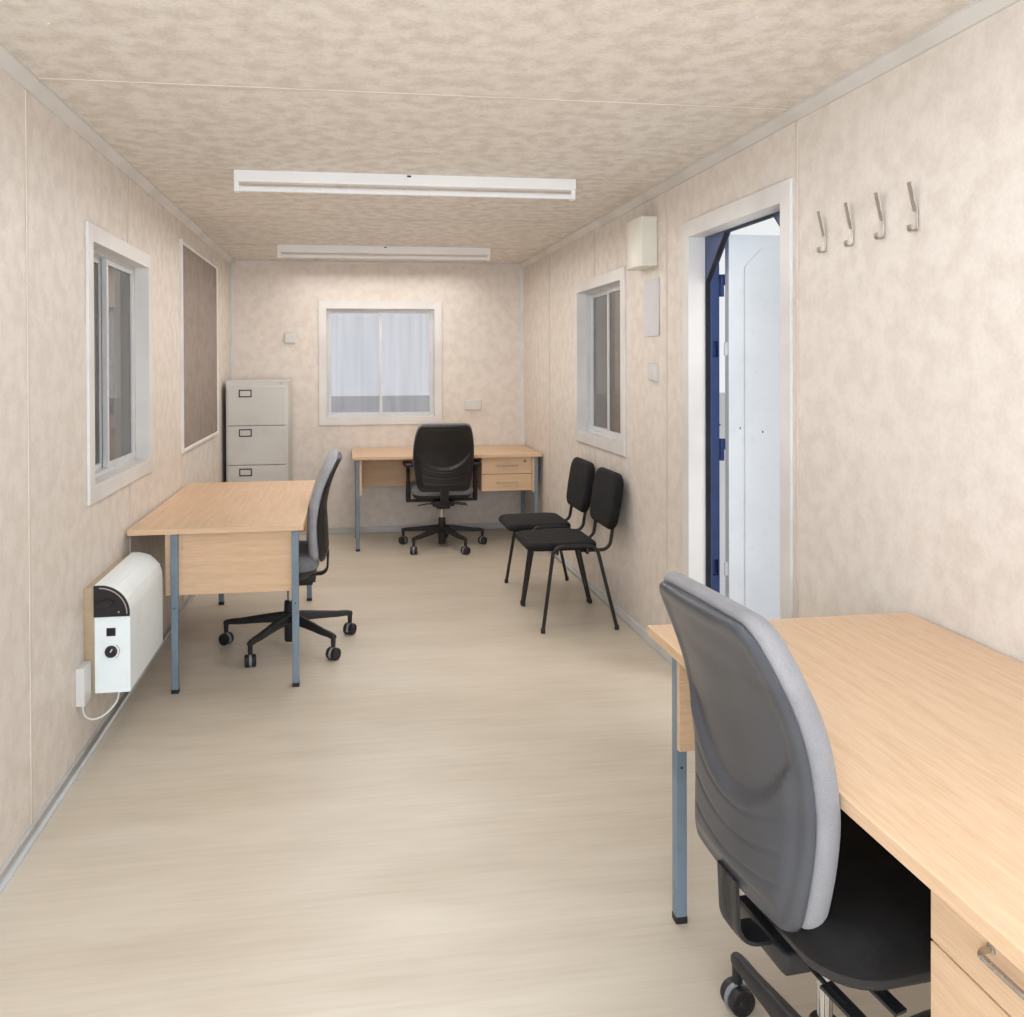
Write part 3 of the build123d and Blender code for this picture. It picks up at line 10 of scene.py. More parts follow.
import bmesh
import bpy
from mathutils import Euler, Matrix, Vector
from mathutils.kdtree import KDTree
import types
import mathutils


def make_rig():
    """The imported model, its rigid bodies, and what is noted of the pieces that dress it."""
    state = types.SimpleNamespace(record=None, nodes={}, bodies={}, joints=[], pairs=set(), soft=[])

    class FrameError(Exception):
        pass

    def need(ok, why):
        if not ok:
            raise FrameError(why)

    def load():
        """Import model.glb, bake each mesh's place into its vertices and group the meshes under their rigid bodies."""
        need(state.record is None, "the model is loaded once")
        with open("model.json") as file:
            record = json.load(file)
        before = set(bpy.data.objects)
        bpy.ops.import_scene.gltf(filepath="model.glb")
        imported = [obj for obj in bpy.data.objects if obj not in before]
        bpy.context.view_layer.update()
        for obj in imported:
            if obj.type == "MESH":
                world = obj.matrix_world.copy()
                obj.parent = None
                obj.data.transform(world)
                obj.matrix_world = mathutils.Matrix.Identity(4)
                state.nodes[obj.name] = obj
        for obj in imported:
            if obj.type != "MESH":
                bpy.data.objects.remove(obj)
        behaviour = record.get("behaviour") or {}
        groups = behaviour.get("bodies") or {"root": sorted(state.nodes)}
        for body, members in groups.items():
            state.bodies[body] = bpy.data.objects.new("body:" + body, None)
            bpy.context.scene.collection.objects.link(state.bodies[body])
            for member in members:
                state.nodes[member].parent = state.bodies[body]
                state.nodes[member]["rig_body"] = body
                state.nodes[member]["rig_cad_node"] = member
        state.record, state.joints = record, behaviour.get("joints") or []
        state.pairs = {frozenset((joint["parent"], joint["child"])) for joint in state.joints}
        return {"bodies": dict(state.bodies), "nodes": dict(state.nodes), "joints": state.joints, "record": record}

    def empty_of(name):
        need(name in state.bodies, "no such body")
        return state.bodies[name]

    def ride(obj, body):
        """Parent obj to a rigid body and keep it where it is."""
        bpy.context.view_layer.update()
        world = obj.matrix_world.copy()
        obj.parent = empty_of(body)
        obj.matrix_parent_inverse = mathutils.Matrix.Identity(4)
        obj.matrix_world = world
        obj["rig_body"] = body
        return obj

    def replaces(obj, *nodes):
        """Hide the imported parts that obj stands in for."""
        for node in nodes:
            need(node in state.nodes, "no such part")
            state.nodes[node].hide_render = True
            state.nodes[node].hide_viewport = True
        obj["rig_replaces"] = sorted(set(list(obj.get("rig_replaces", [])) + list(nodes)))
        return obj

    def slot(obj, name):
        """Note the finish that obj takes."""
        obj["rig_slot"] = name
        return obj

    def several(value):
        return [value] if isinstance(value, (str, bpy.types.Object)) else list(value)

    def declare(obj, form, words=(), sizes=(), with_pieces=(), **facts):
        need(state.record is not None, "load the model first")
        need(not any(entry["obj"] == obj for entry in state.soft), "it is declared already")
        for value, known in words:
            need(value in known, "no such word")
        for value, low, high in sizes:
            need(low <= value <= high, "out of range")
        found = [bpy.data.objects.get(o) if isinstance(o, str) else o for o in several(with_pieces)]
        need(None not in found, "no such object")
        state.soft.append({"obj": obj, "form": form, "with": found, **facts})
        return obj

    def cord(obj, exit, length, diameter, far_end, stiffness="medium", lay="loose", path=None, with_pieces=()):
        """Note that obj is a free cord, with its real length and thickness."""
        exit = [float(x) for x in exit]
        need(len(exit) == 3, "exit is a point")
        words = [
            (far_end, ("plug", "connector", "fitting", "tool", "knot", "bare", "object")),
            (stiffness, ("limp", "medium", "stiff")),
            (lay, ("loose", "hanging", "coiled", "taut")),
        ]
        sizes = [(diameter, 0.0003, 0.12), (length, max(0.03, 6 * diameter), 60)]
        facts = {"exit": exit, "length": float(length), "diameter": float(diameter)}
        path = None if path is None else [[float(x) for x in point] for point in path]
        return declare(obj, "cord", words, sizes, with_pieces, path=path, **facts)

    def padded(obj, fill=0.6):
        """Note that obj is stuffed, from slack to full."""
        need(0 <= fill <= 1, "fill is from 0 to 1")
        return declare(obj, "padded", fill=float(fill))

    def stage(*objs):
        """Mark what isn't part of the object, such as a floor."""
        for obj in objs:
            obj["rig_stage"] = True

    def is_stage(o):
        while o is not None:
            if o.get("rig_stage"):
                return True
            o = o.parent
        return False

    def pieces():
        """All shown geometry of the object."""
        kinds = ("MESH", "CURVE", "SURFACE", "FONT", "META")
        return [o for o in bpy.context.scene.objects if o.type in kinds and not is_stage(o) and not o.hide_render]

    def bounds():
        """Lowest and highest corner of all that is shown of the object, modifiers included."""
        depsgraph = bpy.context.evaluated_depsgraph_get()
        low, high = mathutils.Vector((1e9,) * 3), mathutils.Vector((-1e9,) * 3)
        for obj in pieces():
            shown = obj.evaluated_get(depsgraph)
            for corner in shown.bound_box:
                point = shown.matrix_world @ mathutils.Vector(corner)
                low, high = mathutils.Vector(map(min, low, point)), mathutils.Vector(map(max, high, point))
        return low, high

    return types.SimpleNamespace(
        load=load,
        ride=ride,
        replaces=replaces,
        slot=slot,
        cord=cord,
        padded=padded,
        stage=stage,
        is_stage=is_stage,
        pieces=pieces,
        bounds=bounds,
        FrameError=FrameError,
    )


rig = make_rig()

LOG = logging.getLogger("site_cabin")
Point = tuple[float, float, float]
Colour = tuple[int, int, int]
Socket = bpy.types.NodeSocket

# Heights above the ground, half the room's width, and the two bodies
FLOOR = 0.172
CEILING = 2.492
HALF_WIDTH = 1.25
CABIN = "cabin"
DOOR = "door"


def linear(colour: Colour) -> tuple[float, float, float, float]:
    """Turn a colour written as 0 to 255 in sRGB into the linear values that a shader takes.

    Args:
        colour: The colour.

    Returns:
        Its linear red, green and blue, and an alpha of 1.
    """

    def channel(value: float) -> float:
        """Return one channel's linear value."""
        share = value / 255
        return share / 12.92 if share <= 0.04045 else ((share + 0.055) / 1.055) ** 2.4

    return channel(colour[0]), channel(colour[1]), channel(colour[2]), 1.0


class Graph:
    """A light hand on one node tree."""

    def __init__(self, tree: bpy.types.NodeTree) -> None:
        """Keep the tree.

        Args:
            tree: The material's or the group's node tree.
        """
        self.tree = tree

    def add(self, kind: str, inputs: Optional[dict] = None, **settings: object) -> bpy.types.Node:
        """Add a node.

        Args:
            kind: The node's type name.
            inputs: Values or sockets for its inputs, by name or index.
            settings: Attributes of the node.

        Returns:
            The new node.
        """
        node = self.tree.nodes.new(kind)
        for name, value in settings.items():
            setattr(node, name, value)
        for key, value in (inputs or {}).items():
            socket = node.inputs[key]
            if isinstance(value, Socket):
                self.tree.links.new(value, socket)
            else:
                socket.default_value = value
        return node

    def noise(self, vector: Socket, scale: object, detail: float = 4.0, rough: float = 0.55) -> Socket:
        """Add a noise texture.

        Args:
            vector: Where it is read.
            scale: Its scale, as a number or a socket.
            detail: How many finer layers it has.
            rough: How strong the finer layers are.

        Returns:
            Its value.
        """
        node = self.add("ShaderNodeTexNoise", {"Vector": vector, "Scale": scale, "Detail": detail, "Roughness": rough})
        return node.outputs["Fac"]

    def stretch(self, vector: Socket, by: Point) -> Socket:
        """Multiply a vector, so that a pattern on it is drawn out along an axis.

        Args:
            vector: The vector.
            by: The factor on each axis.

        Returns:
            The stretched vector.
        """
        node = self.add("ShaderNodeVectorMath", {0: vector, 1: by}, operation="MULTIPLY")
        return node.outputs[0]

    def remap(self, value: Socket, low: float, high: float, to_low: object = 0.0, to_high: object = 1.0) -> Socket:
        """Map a value from one range to another and hold it there.

        Args:
            value: The value.
            low: Where the range starts.
            high: Where the range ends.
            to_low: What the start becomes.
            to_high: What the end becomes.

        Returns:
            The mapped value.
        """
        node = self.add("ShaderNodeMapRange", {0: value, 1: low, 2: high, 3: to_low, 4: to_high})
        return node.outputs[0]

    def math(self, operation: str, first: object, second: object = 0.0) -> Socket:
        """Combine two values.

        Args:
            operation: Blender's name of the operation.
            first: The first value or socket.
            second: The second value or socket.

        Returns:
            The result.
        """
        return self.add("ShaderNodeMath", {0: first, 1: second}, operation=operation).outputs[0]

    def blend(self, first: Socket, second: Socket, share: float) -> Socket:
        """Add two values in shares that make up a whole.

        Args:
            first: The first value.
            second: The second value.
            share: The first value's share.

        Returns:
            The sum.
        """
        return self.math("ADD", self.math("MULTIPLY", first, share), self.math("MULTIPLY", second, round(1 - share, 6)))

    def mix(self, share: object, first: object, second: object) -> Socket:
        """Mix two colours.

        Args:
            share: How much of the second colour shows.
            first: The first colour or socket.
            second: The second colour or socket.

        Returns:
            The mixed colour.
        """
        node = self.add("ShaderNodeMix", {0: share, 6: first, 7: second}, data_type="RGBA")
        return node.outputs[2]


class Pattern(Enum):
    """The surface patterns that the finishes share, each one a node group."""

    MOTTLE = "mottled vinyl"
    MARBLE = "marbled floor"
    GRAIN = "wood grain"
    WEAVE = "woven cloth"
    PEEL = "sprayed paint"
    BRUSH = "drawn metal"
    MOULD = "moulded plastic"

    def group(self) -> bpy.types.NodeTree:
        """Return the pattern's node group, made at its first use."""
        found = bpy.data.node_groups.get(self.value)
        return found if found else PatternGroups().build(self)


class PatternGroups:
    """Builds the node groups of the patterns, all with the same inputs and outputs."""

    INPUTS = (("Vector", "NodeSocketVector"), ("Light", "NodeSocketColor"), ("Dark", "NodeSocketColor"),
              ("Scale", "NodeSocketFloat"), ("Contrast", "NodeSocketFloat"))
    OUTPUTS = (("Color", "NodeSocketColor"), ("Mask", "NodeSocketFloat"), ("Height", "NodeSocketFloat"))

    def build(self, pattern: Pattern) -> bpy.types.NodeTree:
        """Build the group of one pattern.

        Args:
            pattern: The pattern.

        Returns:
            Its node group.
        """
        tree = bpy.data.node_groups.new(pattern.value, "ShaderNodeTree")
        for name, kind in self.INPUTS:
            tree.interface.new_socket(name, in_out="INPUT", socket_type=kind)
        for name, kind in self.OUTPUTS:
            tree.interface.new_socket(name, in_out="OUTPUT", socket_type=kind)
        graph = Graph(tree)
        given = graph.add("NodeGroupInput").outputs
        maker: Callable = getattr(self, pattern.name.lower())
        mask, height = maker(graph, given["Vector"], given["Scale"])
        share = graph.math("MULTIPLY", mask, given["Contrast"])
        graph.add("NodeGroupOutput",
                  {"Color": graph.mix(share, given["Light"], given["Dark"]), "Mask": mask, "Height": height})
        return tree

    def mottle(self, graph: Graph, vector: Socket, scale: Socket) -> tuple[Socket, Socket]:
        """Cloudy blotches with finer flecks in them, as on vinyl-faced board.

        Args:
            graph: The group's graph.
            vector: Where the pattern is read.
            scale: The pattern's scale.

        Returns:
            The pattern's mask and its relief.
        """
        wide = graph.remap(graph.noise(vector, scale, 1.0, 0.5), 0.38, 0.64)
        fine = graph.remap(graph.noise(vector, graph.math("MULTIPLY", scale, 5.3), 2.0, 0.65), 0.4, 0.66)
        mask = graph.blend(wide, fine, 0.6)
        return mask, fine

    def marble(self, graph: Graph, vector: Socket, scale: Socket) -> tuple[Socket, Socket]:
        """Long pale streaks across the sheet, with fine scuffs.

        Args:
            graph: The group's graph.
            vector: Where the pattern is read.
            scale: The pattern's scale.

        Returns:
            The pattern's mask and its relief.
        """
        cross = graph.stretch(vector, (0.28, 1.0, 1.0))
        wide = graph.remap(graph.noise(cross, scale, 3.0, 0.62), 0.36, 0.66)
        lines = graph.stretch(vector, (0.12, 2.4, 1.0))
        fine = graph.remap(graph.noise(lines, graph.math("MULTIPLY", scale, 6.0), 3.0, 0.7), 0.42, 0.7)
        mask = graph.blend(wide, fine, 0.62)
        return mask, fine

    def grain(self, graph: Graph, vector: Socket, scale: Socket) -> tuple[Socket, Socket]:
        """Straight beech grain along the first axis, with short darker flecks.

        Args:
            graph: The group's graph.
            vector: Where the pattern is read.
            scale: The pattern's scale.

        Returns:
            The pattern's mask and its relief.
        """
        along = graph.stretch(vector, (0.06, 1.0, 1.0))
        broad = graph.remap(graph.noise(along, scale, 1.0, 0.5), 0.36, 0.66)
        lines = graph.remap(graph.noise(along, graph.math("MULTIPLY", scale, 5.0), 2.0, 0.65), 0.38, 0.66)
        bands = graph.blend(broad, lines, 0.45)
        flecks = graph.stretch(vector, (0.08, 3.0, 1.0))
        fleck = graph.remap(graph.noise(flecks, graph.math("MULTIPLY", scale, 3.4), 1.0, 0.6), 0.56, 0.72)
        mask = graph.blend(bands, fleck, 0.66)
        return mask, fleck

    def weave(self, graph: Graph, vector: Socket, scale: Socket) -> tuple[Socket, Socket]:
        """Plain woven cloth: threads over and under, and a heathered yarn.

        Args:
            graph: The group's graph.
            vector: Where the pattern is read.
            scale: The pattern's scale.

        Returns:
            The pattern's mask and its relief.
        """
        turned = graph.add("ShaderNodeMapping", {"Vector": vector, "Rotation": (0.6, 0.4, 0.0)}).outputs[0]
        threads = graph.add("ShaderNodeTexVoronoi",
                            {"Vector": turned, "Scale": scale, "Randomness": 0.35}).outputs["Distance"]
        yarn = graph.noise(vector, graph.math("MULTIPLY", scale, 0.6), 1.0, 0.7)
        soft = graph.noise(vector, graph.math("MULTIPLY", scale, 0.02), 1.0, 0.5)
        mask = graph.blend(graph.remap(yarn, 0.35, 0.65), graph.remap(soft, 0.35, 0.65), 0.65)
        return mask, graph.math("SUBTRACT", 1.0, threads)

    def peel(self, graph: Graph, vector: Socket, scale: Socket) -> tuple[Socket, Socket]:
        """Sprayed paint: faint orange peel, and a little grime in broad patches.

        Args:
            graph: The group's graph.
            vector: Where the pattern is read.
            scale: The pattern's scale.

        Returns:
            The pattern's mask and its relief.
        """
        broad = graph.remap(graph.noise(vector, scale, 3.0, 0.65), 0.45, 0.75)
        specks = graph.remap(graph.noise(vector, graph.math("MULTIPLY", scale, 14.0), 1.0, 0.6), 0.6, 0.72)
        mask = graph.blend(broad, specks, 0.75)
        return mask, graph.noise(vector, graph.math("MULTIPLY", scale, 90.0), 0.0, 0.5)

    def brush(self, graph: Graph, vector: Socket, scale: Socket) -> tuple[Socket, Socket]:
        """Drawn or rolled metal: fine lines along the upright axis.

        Args:
            graph: The group's graph.
            vector: Where the pattern is read.
            scale: The pattern's scale.

        Returns:
            The pattern's mask and its relief.
        """
        lines = graph.noise(graph.stretch(vector, (1.0, 1.0, 0.04)), scale, 2.0, 0.6)
        dull = graph.remap(graph.noise(vector, graph.math("MULTIPLY", scale, 0.03), 1.0, 0.6), 0.4, 0.7)
        mask = graph.blend(graph.remap(lines, 0.35, 0.65), dull, 0.5)
        return mask, lines

    def mould(self, graph: Graph, vector: Socket, scale: Socket) -> tuple[Socket, Socket]:
        """Moulded plastic: a fine spark-eroded texture and a faint bloom from handling.

        Args:
            graph: The group's graph.
            vector: Where the pattern is read.
            scale: The pattern's scale.

        Returns:
            The pattern's mask and its relief.
        """
        bloom = graph.remap(graph.noise(vector, scale, 2.0, 0.6), 0.4, 0.7)
        pits = graph.add("ShaderNodeTexVoronoi",
                         {"Vector": vector, "Scale": graph.math("MULTIPLY", scale, 120.0)}).outputs["Distance"]
        return bloom, pits


def blank_material(name: str) -> bpy.types.Material:
    """Make a material whose node tree is empty.

    Args:
        name: The material's name.

    Returns:
        The material.
    """
    made = bpy.data.materials.new(name)
    made.use_nodes = True
    made.node_tree.nodes.clear()
    return made


@dataclass(frozen=True)
class Finish:
    """A surface finish: a pattern between two colours, with its gloss and relief."""

    name: str
    slot: str
    pattern: Pattern
    light: Colour
    dark: Colour
    scale: float = 8.0
    contrast: float = 1.0
    rough: tuple[float, float] = (0.45, 0.6)
    metallic: float = 0.0
    bump: float = 0.1
    depth: float = 0.0005
    coat: float = 0.0
    sheen: float = 0.0
    by_uv: bool = False

    def material(self) -> bpy.types.Material:
        """Return the finish's material, made at its first use.

        Returns:
            The material.
        """
        found = bpy.data.materials.get(f"{self.name}_finish")
        if found:
            return found
        made = blank_material(f"{self.name}_finish")
        graph = Graph(made.node_tree)
        place = graph.add("ShaderNodeTexCoord").outputs["UV" if self.by_uv else "Object"]
        group = graph.add("ShaderNodeGroup", node_tree=self.pattern.group())
        made.node_tree.links.new(place, group.inputs["Vector"])
        group.inputs["Light"].default_value = linear(self.light)
        group.inputs["Dark"].default_value = linear(self.dark)
        group.inputs["Scale"].default_value = self.scale
        group.inputs["Contrast"].default_value = self.contrast
        rough = graph.remap(group.outputs["Mask"], 0.0, 1.0, *self.rough)
        shader = graph.add("ShaderNodeBsdfPrincipled", {
            "Base Color": group.outputs["Color"], "Roughness": rough, "Metallic": self.metallic,
            "Coat Weight": self.coat, "Sheen Weight": self.sheen})
        if self.bump:
            relief = graph.add("ShaderNodeBump",
                               {"Strength": self.bump, "Distance": self.depth, "Height": group.outputs["Height"]})
            made.node_tree.links.new(relief.outputs[0], shader.inputs["Normal"])
        graph.add("ShaderNodeOutputMaterial", {"Surface": shader.outputs[0]})
        return made


@dataclass(frozen=True)
class Glazing:
    """Window glass with a tint, and faint upright smears a little darker than it."""

    name: str
    slot: str
    tint: Colour
    smear: float = 0.95

    def material(self) -> bpy.types.Material:
        """Return the glass material, made at its first use.

        Returns:
            The material.
        """
        found = bpy.data.materials.get(f"{self.name}_finish")
        if found:
            return found
        made = blank_material(f"{self.name}_finish")
        graph = Graph(made.node_tree)
        place = graph.add("ShaderNodeTexCoord").outputs["Object"]
        smear = graph.remap(graph.noise(graph.stretch(place, (9.0, 9.0, 0.5)), 2.0, 1.0), 0.3, 0.7)
        deep = tuple(int(value * self.smear) for value in self.tint)
        colour = graph.mix(smear, linear(self.tint), linear(deep))
        shader = graph.add("ShaderNodeBsdfPrincipled", {
            "Base Color": colour, "Roughness": 0.02, "Transmission Weight": 1.0, "IOR": 1.45})
        graph.add("ShaderNodeOutputMaterial", {"Surface": shader.outputs[0]})
        return made


# The finishes of the cabin, by what they are on
WALL = Finish("wall_vinyl", "wall_vinyl", Pattern.MOTTLE, (224, 215, 205), (211, 200, 189), 15.0, 1.0, (0.42, 0.6),
              bump=0.0)
CEILING_BOARD = Finish("ceiling_vinyl", "ceiling_vinyl", Pattern.MOTTLE, (224, 216, 206), (199, 188, 176), 14.0, 1.0,
                       (0.45, 0.65), bump=0.0)
FLOORING = Finish("floor_vinyl", "floor_vinyl", Pattern.MARBLE, (207, 196, 179), (190, 177, 158), 4.0, 1.0, (0.3, 0.46),
                  bump=0.0)
TRIM = Finish("trim_white", "trim_white", Pattern.MOULD, (221, 218, 214), (208, 204, 200), 3.0, 1.0, (0.38, 0.5),
              bump=0.05)
STRIP = Finish("strip_cream", "strip_cream", Pattern.MOULD, (213, 201, 187), (202, 188, 171), 3.0, 1.0, (0.4, 0.55),
               bump=0.05)
SKIRTING = Finish("skirting_grey", "skirting_grey", Pattern.MOULD, (204, 204, 204), (184, 183, 181), 3.0, 1.0,
                  (0.4, 0.55), bump=0.05)
COVE = Finish("cove_grey", "cove_grey", Pattern.MOULD, (207, 202, 196), (194, 189, 181), 3.0, 1.0, (0.45, 0.6),
              bump=0.05)
DOOR_BLUE = Finish("door_blue", "door_blue", Pattern.PEEL, (38, 62, 112), (27, 44, 80), 4.0, 0.9, (0.28, 0.42),
                   bump=0.12, coat=0.25)
DOOR_WHITE = Finish("door_white", "door_white", Pattern.PEEL, (217, 221, 224), (197, 201, 205), 1.6, 0.8, (0.35, 0.5),
                    bump=0.08)
SHELL_BLUE = Finish("steel_blue", "steel_blue", Pattern.PEEL, (40, 66, 116), (30, 47, 82), 2.2, 1.0, (0.36, 0.55),
                    bump=0.2)
CLADDING = Finish("cladding_paint", "cladding_paint", Pattern.PEEL, (48, 80, 140), (38, 61, 106), 1.4, 0.9,
                  (0.34, 0.52), bump=0.18)
ROOFING = Finish("roof_grey", "roof_grey", Pattern.PEEL, (196, 199, 200), (160, 162, 160), 1.1, 1.0, (0.4, 0.62),
                 bump=0.2)
PRIMER = Finish("steel_primer", "steel_primer", Pattern.PEEL, (120, 120, 120), (88, 88, 88), 3.0, 1.0, (0.6, 0.75),
                bump=0.2)
TIMBER = Finish("joist_timber", "joist_timber", Pattern.GRAIN, (206, 180, 142), (168, 136, 96), 30.0, 1.0, (0.65, 0.8),
                bump=0.3)
RUBBER = Finish("gasket_rubber", "gasket_rubber", Pattern.MOULD, (26, 27, 30), (14, 14, 16), 6.0, 1.0, (0.55, 0.7),
                bump=0.1)
ALUMINIUM = Finish("window_aluminium", "window_aluminium", Pattern.BRUSH, (219, 220, 221), (199, 200, 201), 260.0, 0.7,
                   (0.26, 0.4), 0.2, bump=0.08)
STEEL = Finish("satin_steel", "satin_steel", Pattern.BRUSH, (204, 199, 191), (177, 170, 162), 300.0, 0.8, (0.26, 0.38),
               0.85, bump=0.06)
LIGHT_WHITE = Finish("light_white", "light_white", Pattern.PEEL, (236, 235, 233), (226, 224, 222), 3.0, 0.6,
                     (0.3, 0.42), bump=0.05)
TUBE = Finish("tube_white", "tube_white", Pattern.PEEL, (232, 232, 232), (221, 222, 223), 3.0, 0.5, (0.25, 0.35),
              bump=0.02)
UNIT = Finish("unit_cream", "unit_cream", Pattern.MOULD, (221, 217, 204), (208, 203, 189), 3.0, 1.0, (0.34, 0.48),
              bump=0.06)
PLATE = Finish("plate_white", "plate_white", Pattern.MOULD, (213, 211, 207), (202, 199, 194), 4.0, 1.0, (0.3, 0.42),
               bump=0.05)
FELT = Finish("board_felt", "board_felt", Pattern.WEAVE, (164, 151, 142), (136, 123, 115), 700.0, 1.0, (0.9, 0.98),
              bump=0.6, depth=0.001)
HEATER_WHITE = Finish("heater_white", "heater_white", Pattern.PEEL, (234, 241, 241), (220, 227, 227), 4.0, 0.8,
                      (0.32, 0.46), bump=0.08)
BLACK = Finish("black_plastic", "black_plastic", Pattern.MOULD, (37, 37, 40), (24, 24, 26), 6.0, 1.0, (0.42, 0.58),
               bump=0.25)
# The heater's mounting box is a real box. Its tan, darker than the wall, is painted shade behind the heater
BRACKET_AND_SHADE = Finish("bracket_cream", "bracket_cream", Pattern.PEEL, (180, 162, 134), (156, 136, 107), 4.0, 1.0,
                 (0.5, 0.62), bump=0.1)
FLEX = Finish("flex_white", "flex_white", Pattern.MOULD, (221, 220, 217), (208, 206, 202), 6.0, 1.0, (0.4, 0.5),
              bump=0.05)
BEECH = Finish("beech", "beech", Pattern.GRAIN, (217, 186, 154), (194, 157, 120), 46.0, 1.0, (0.34, 0.48), bump=0.0,
               by_uv=True)
LEG = Finish("leg_steel", "leg_steel", Pattern.PEEL, (118, 134, 147), (96, 110, 122), 6.0, 0.9, (0.34, 0.48), bump=0.1)
CABINET = Finish("cabinet_grey", "cabinet_grey", Pattern.PEEL, (204, 201, 196), (190, 186, 179), 3.0, 1.0, (0.36, 0.5),
                 bump=0.1)
BLACK_STEEL = Finish("black_steel", "black_steel", Pattern.PEEL, (31, 31, 33), (20, 20, 22), 6.0, 1.0, (0.3, 0.45),
                     bump=0.12)
SEAT_CLOTH = Finish("seat_fabric", "seat_fabric", Pattern.WEAVE, (131, 131, 135), (103, 103, 108), 900.0, 1.0,
                    (0.88, 0.96), bump=0.5, depth=0.0008, sheen=0.15)
BACK_CLOTH = Finish("back_fabric", "back_fabric", Pattern.WEAVE, (164, 164, 167), (140, 140, 144), 900.0, 1.0,
                    (0.88, 0.96), bump=0.5, depth=0.0008, sheen=0.15)
PALE_CLOTH = Finish("pale_back_fabric", "back_fabric", Pattern.WEAVE, (134, 131, 132), (119, 117, 118), 900.0, 1.0,
                    (0.86, 0.95), bump=0.5, depth=0.0008, sheen=0.15)
# Near-black cloth of the visitor chairs; the near swivel chair's seat takes it too, as painted shade under the near
# desk
VISITOR_CLOTH_AND_DESK_SHADE = Finish("visitor_fabric", "visitor_fabric", Pattern.WEAVE, (24, 24, 26), (13, 13, 14), 900.0, 1.0,
                       (0.9, 0.98), bump=0.5, depth=0.0008)
SHELL = Finish("shell_plastic", "shell_plastic", Pattern.MOULD, (29, 27, 28), (19, 18, 19), 5.0, 1.0, (0.32, 0.46),
               bump=0.15)
PALE_SHELL = Finish("pale_shell_plastic", "shell_plastic", Pattern.MOULD, (66, 67, 71), (57, 58, 62), 5.0, 1.0,
                    (0.3, 0.35), bump=0.06)
CHROME = Finish("chrome", "satin_steel", Pattern.BRUSH, (214, 214, 214), (190, 190, 190), 200.0, 0.6, (0.1, 0.2), 1.0,
                bump=0.03)
CAP_LINE = Finish("cap_line", "black_plastic", Pattern.MOULD, (197, 180, 180), (175, 158, 158), 6.0, 1.0, (0.4, 0.5),
                  bump=0.05)
RED = Finish("dial_red", "black_plastic", Pattern.MOULD, (197, 88, 77), (180, 74, 64), 6.0, 1.0, (0.4, 0.5), bump=0.05)
CEILING_PIN = Finish("ceiling_pin", "ceiling_vinyl", Pattern.PEEL, (217, 212, 204), (193, 186, 177), 8.0, 1.0,
                     (0.25, 0.35), bump=0.05)
LEG_GREY = Finish("castor_grey", "black_plastic", Pattern.MOULD, (142, 143, 147), (122, 123, 127), 6.0, 1.0,
                  (0.35, 0.45), bump=0.1)
PAPER = Finish("paper", "plate_white", Pattern.PEEL, (208, 206, 210), (197, 195, 200), 5.0, 1.0, (0.7, 0.8), bump=0.05)
END_GLASS = Glazing("end_glass", "window_glass", (228, 229, 235))
SIDE_GLASS = Glazing("side_glass", "window_glass", (128, 120, 112))

# Which finish dresses each node that keeps its own shape
PLAIN_NODES: dict[str, Finish] = {
    "base_rails": SHELL_BLUE, "roof_rails": SHELL_BLUE, "corner_posts": SHELL_BLUE, "lifting_eyes": SHELL_BLUE,
    "floor_joists": PRIMER, "roof_joists": TIMBER, "floor_deck": FLOORING, "ceiling_lining": CEILING_BOARD,
    "roof_sheet": ROOFING, "left_wall": WALL, "right_wall_near": WALL, "right_wall_far": WALL,
    "right_wall_over_door": WALL, "far_end_wall": WALL, "near_end_wall": WALL, "cladding": CLADDING,
    "door_gasket": RUBBER, "hinge_pins": DOOR_BLUE, "hinge_straps": DOOR_BLUE, "cove_trim": COVE,
    "light_tubes": TUBE, "door_handles": STEEL,
}
# The nodes whose edges are softened, with their finish and the radius of the edge
SOFTENED_NODES: dict[str, tuple[Finish, float]] = {
    "door_frame": (DOOR_BLUE, 0.002), "door_casing": (TRIM, 0.002),
    "door_liner": (DOOR_WHITE, 0.0015), "window_casings": (TRIM, 0.002), "window_frames": (ALUMINIUM, 0.0015),
    "window_sashes": (ALUMINIUM, 0.0015), "sheet_strips": (STRIP, 0.0015), "corner_trims": (TRIM, 0.0015),
    "skirting": (SKIRTING, 0.003), "light_bodies": (LIGHT_WHITE, 0.002), "consumer_unit": (UNIT, 0.006),
    "wall_plates": (PLATE, 0.0015), "heater_spur": (PLATE, 0.002), "desk_legs": (LEG, 0.003),
    "filing_cabinet": (CABINET, 0.002),
}


def settle(name: str, mesh: bpy.types.Mesh, finish: Finish, body: str = CABIN,
           nodes: Iterable[str] = ()) -> bpy.types.Object:
    """Put a finished mesh into the scene as a piece of the cabin.

    Args:
        name: The piece's name.
        mesh: Its mesh, in the cabin's frame.
        finish: Its main finish.
        body: The body that it rides on.
        nodes: The nodes that it stands for.

    Returns:
        The piece's object.
    """
    piece = bpy.data.objects.new(name, mesh)
    bpy.context.scene.collection.objects.link(piece)
    if not mesh.materials:
        mesh.materials.append(finish.material())
    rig.ride(piece, body)
    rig.slot(piece, finish.slot)
    if nodes:
        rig.replaces(piece, *nodes)
    LOG.info("%s: %d faces", name, len(mesh.polygons))
    return piece


def baked(holder: bpy.types.Object, name: str) -> bpy.types.Mesh:
    """Turn an object with its modifiers into a plain mesh and remove the object.

    Args:
        holder: The object, at the origin.
        name: The new mesh's name.

    Returns:
        The mesh that its modifiers give.
    """
    bpy.context.view_layer.update()
    graph = bpy.context.evaluated_depsgraph_get()
    mesh = bpy.data.meshes.new_from_object(holder.evaluated_get(graph), depsgraph=graph)
    mesh.name = name
    old = holder.data
    bpy.data.objects.remove(holder)
    if isinstance(old, bpy.types.Mesh):
        bpy.data.meshes.remove(old)
    return mesh


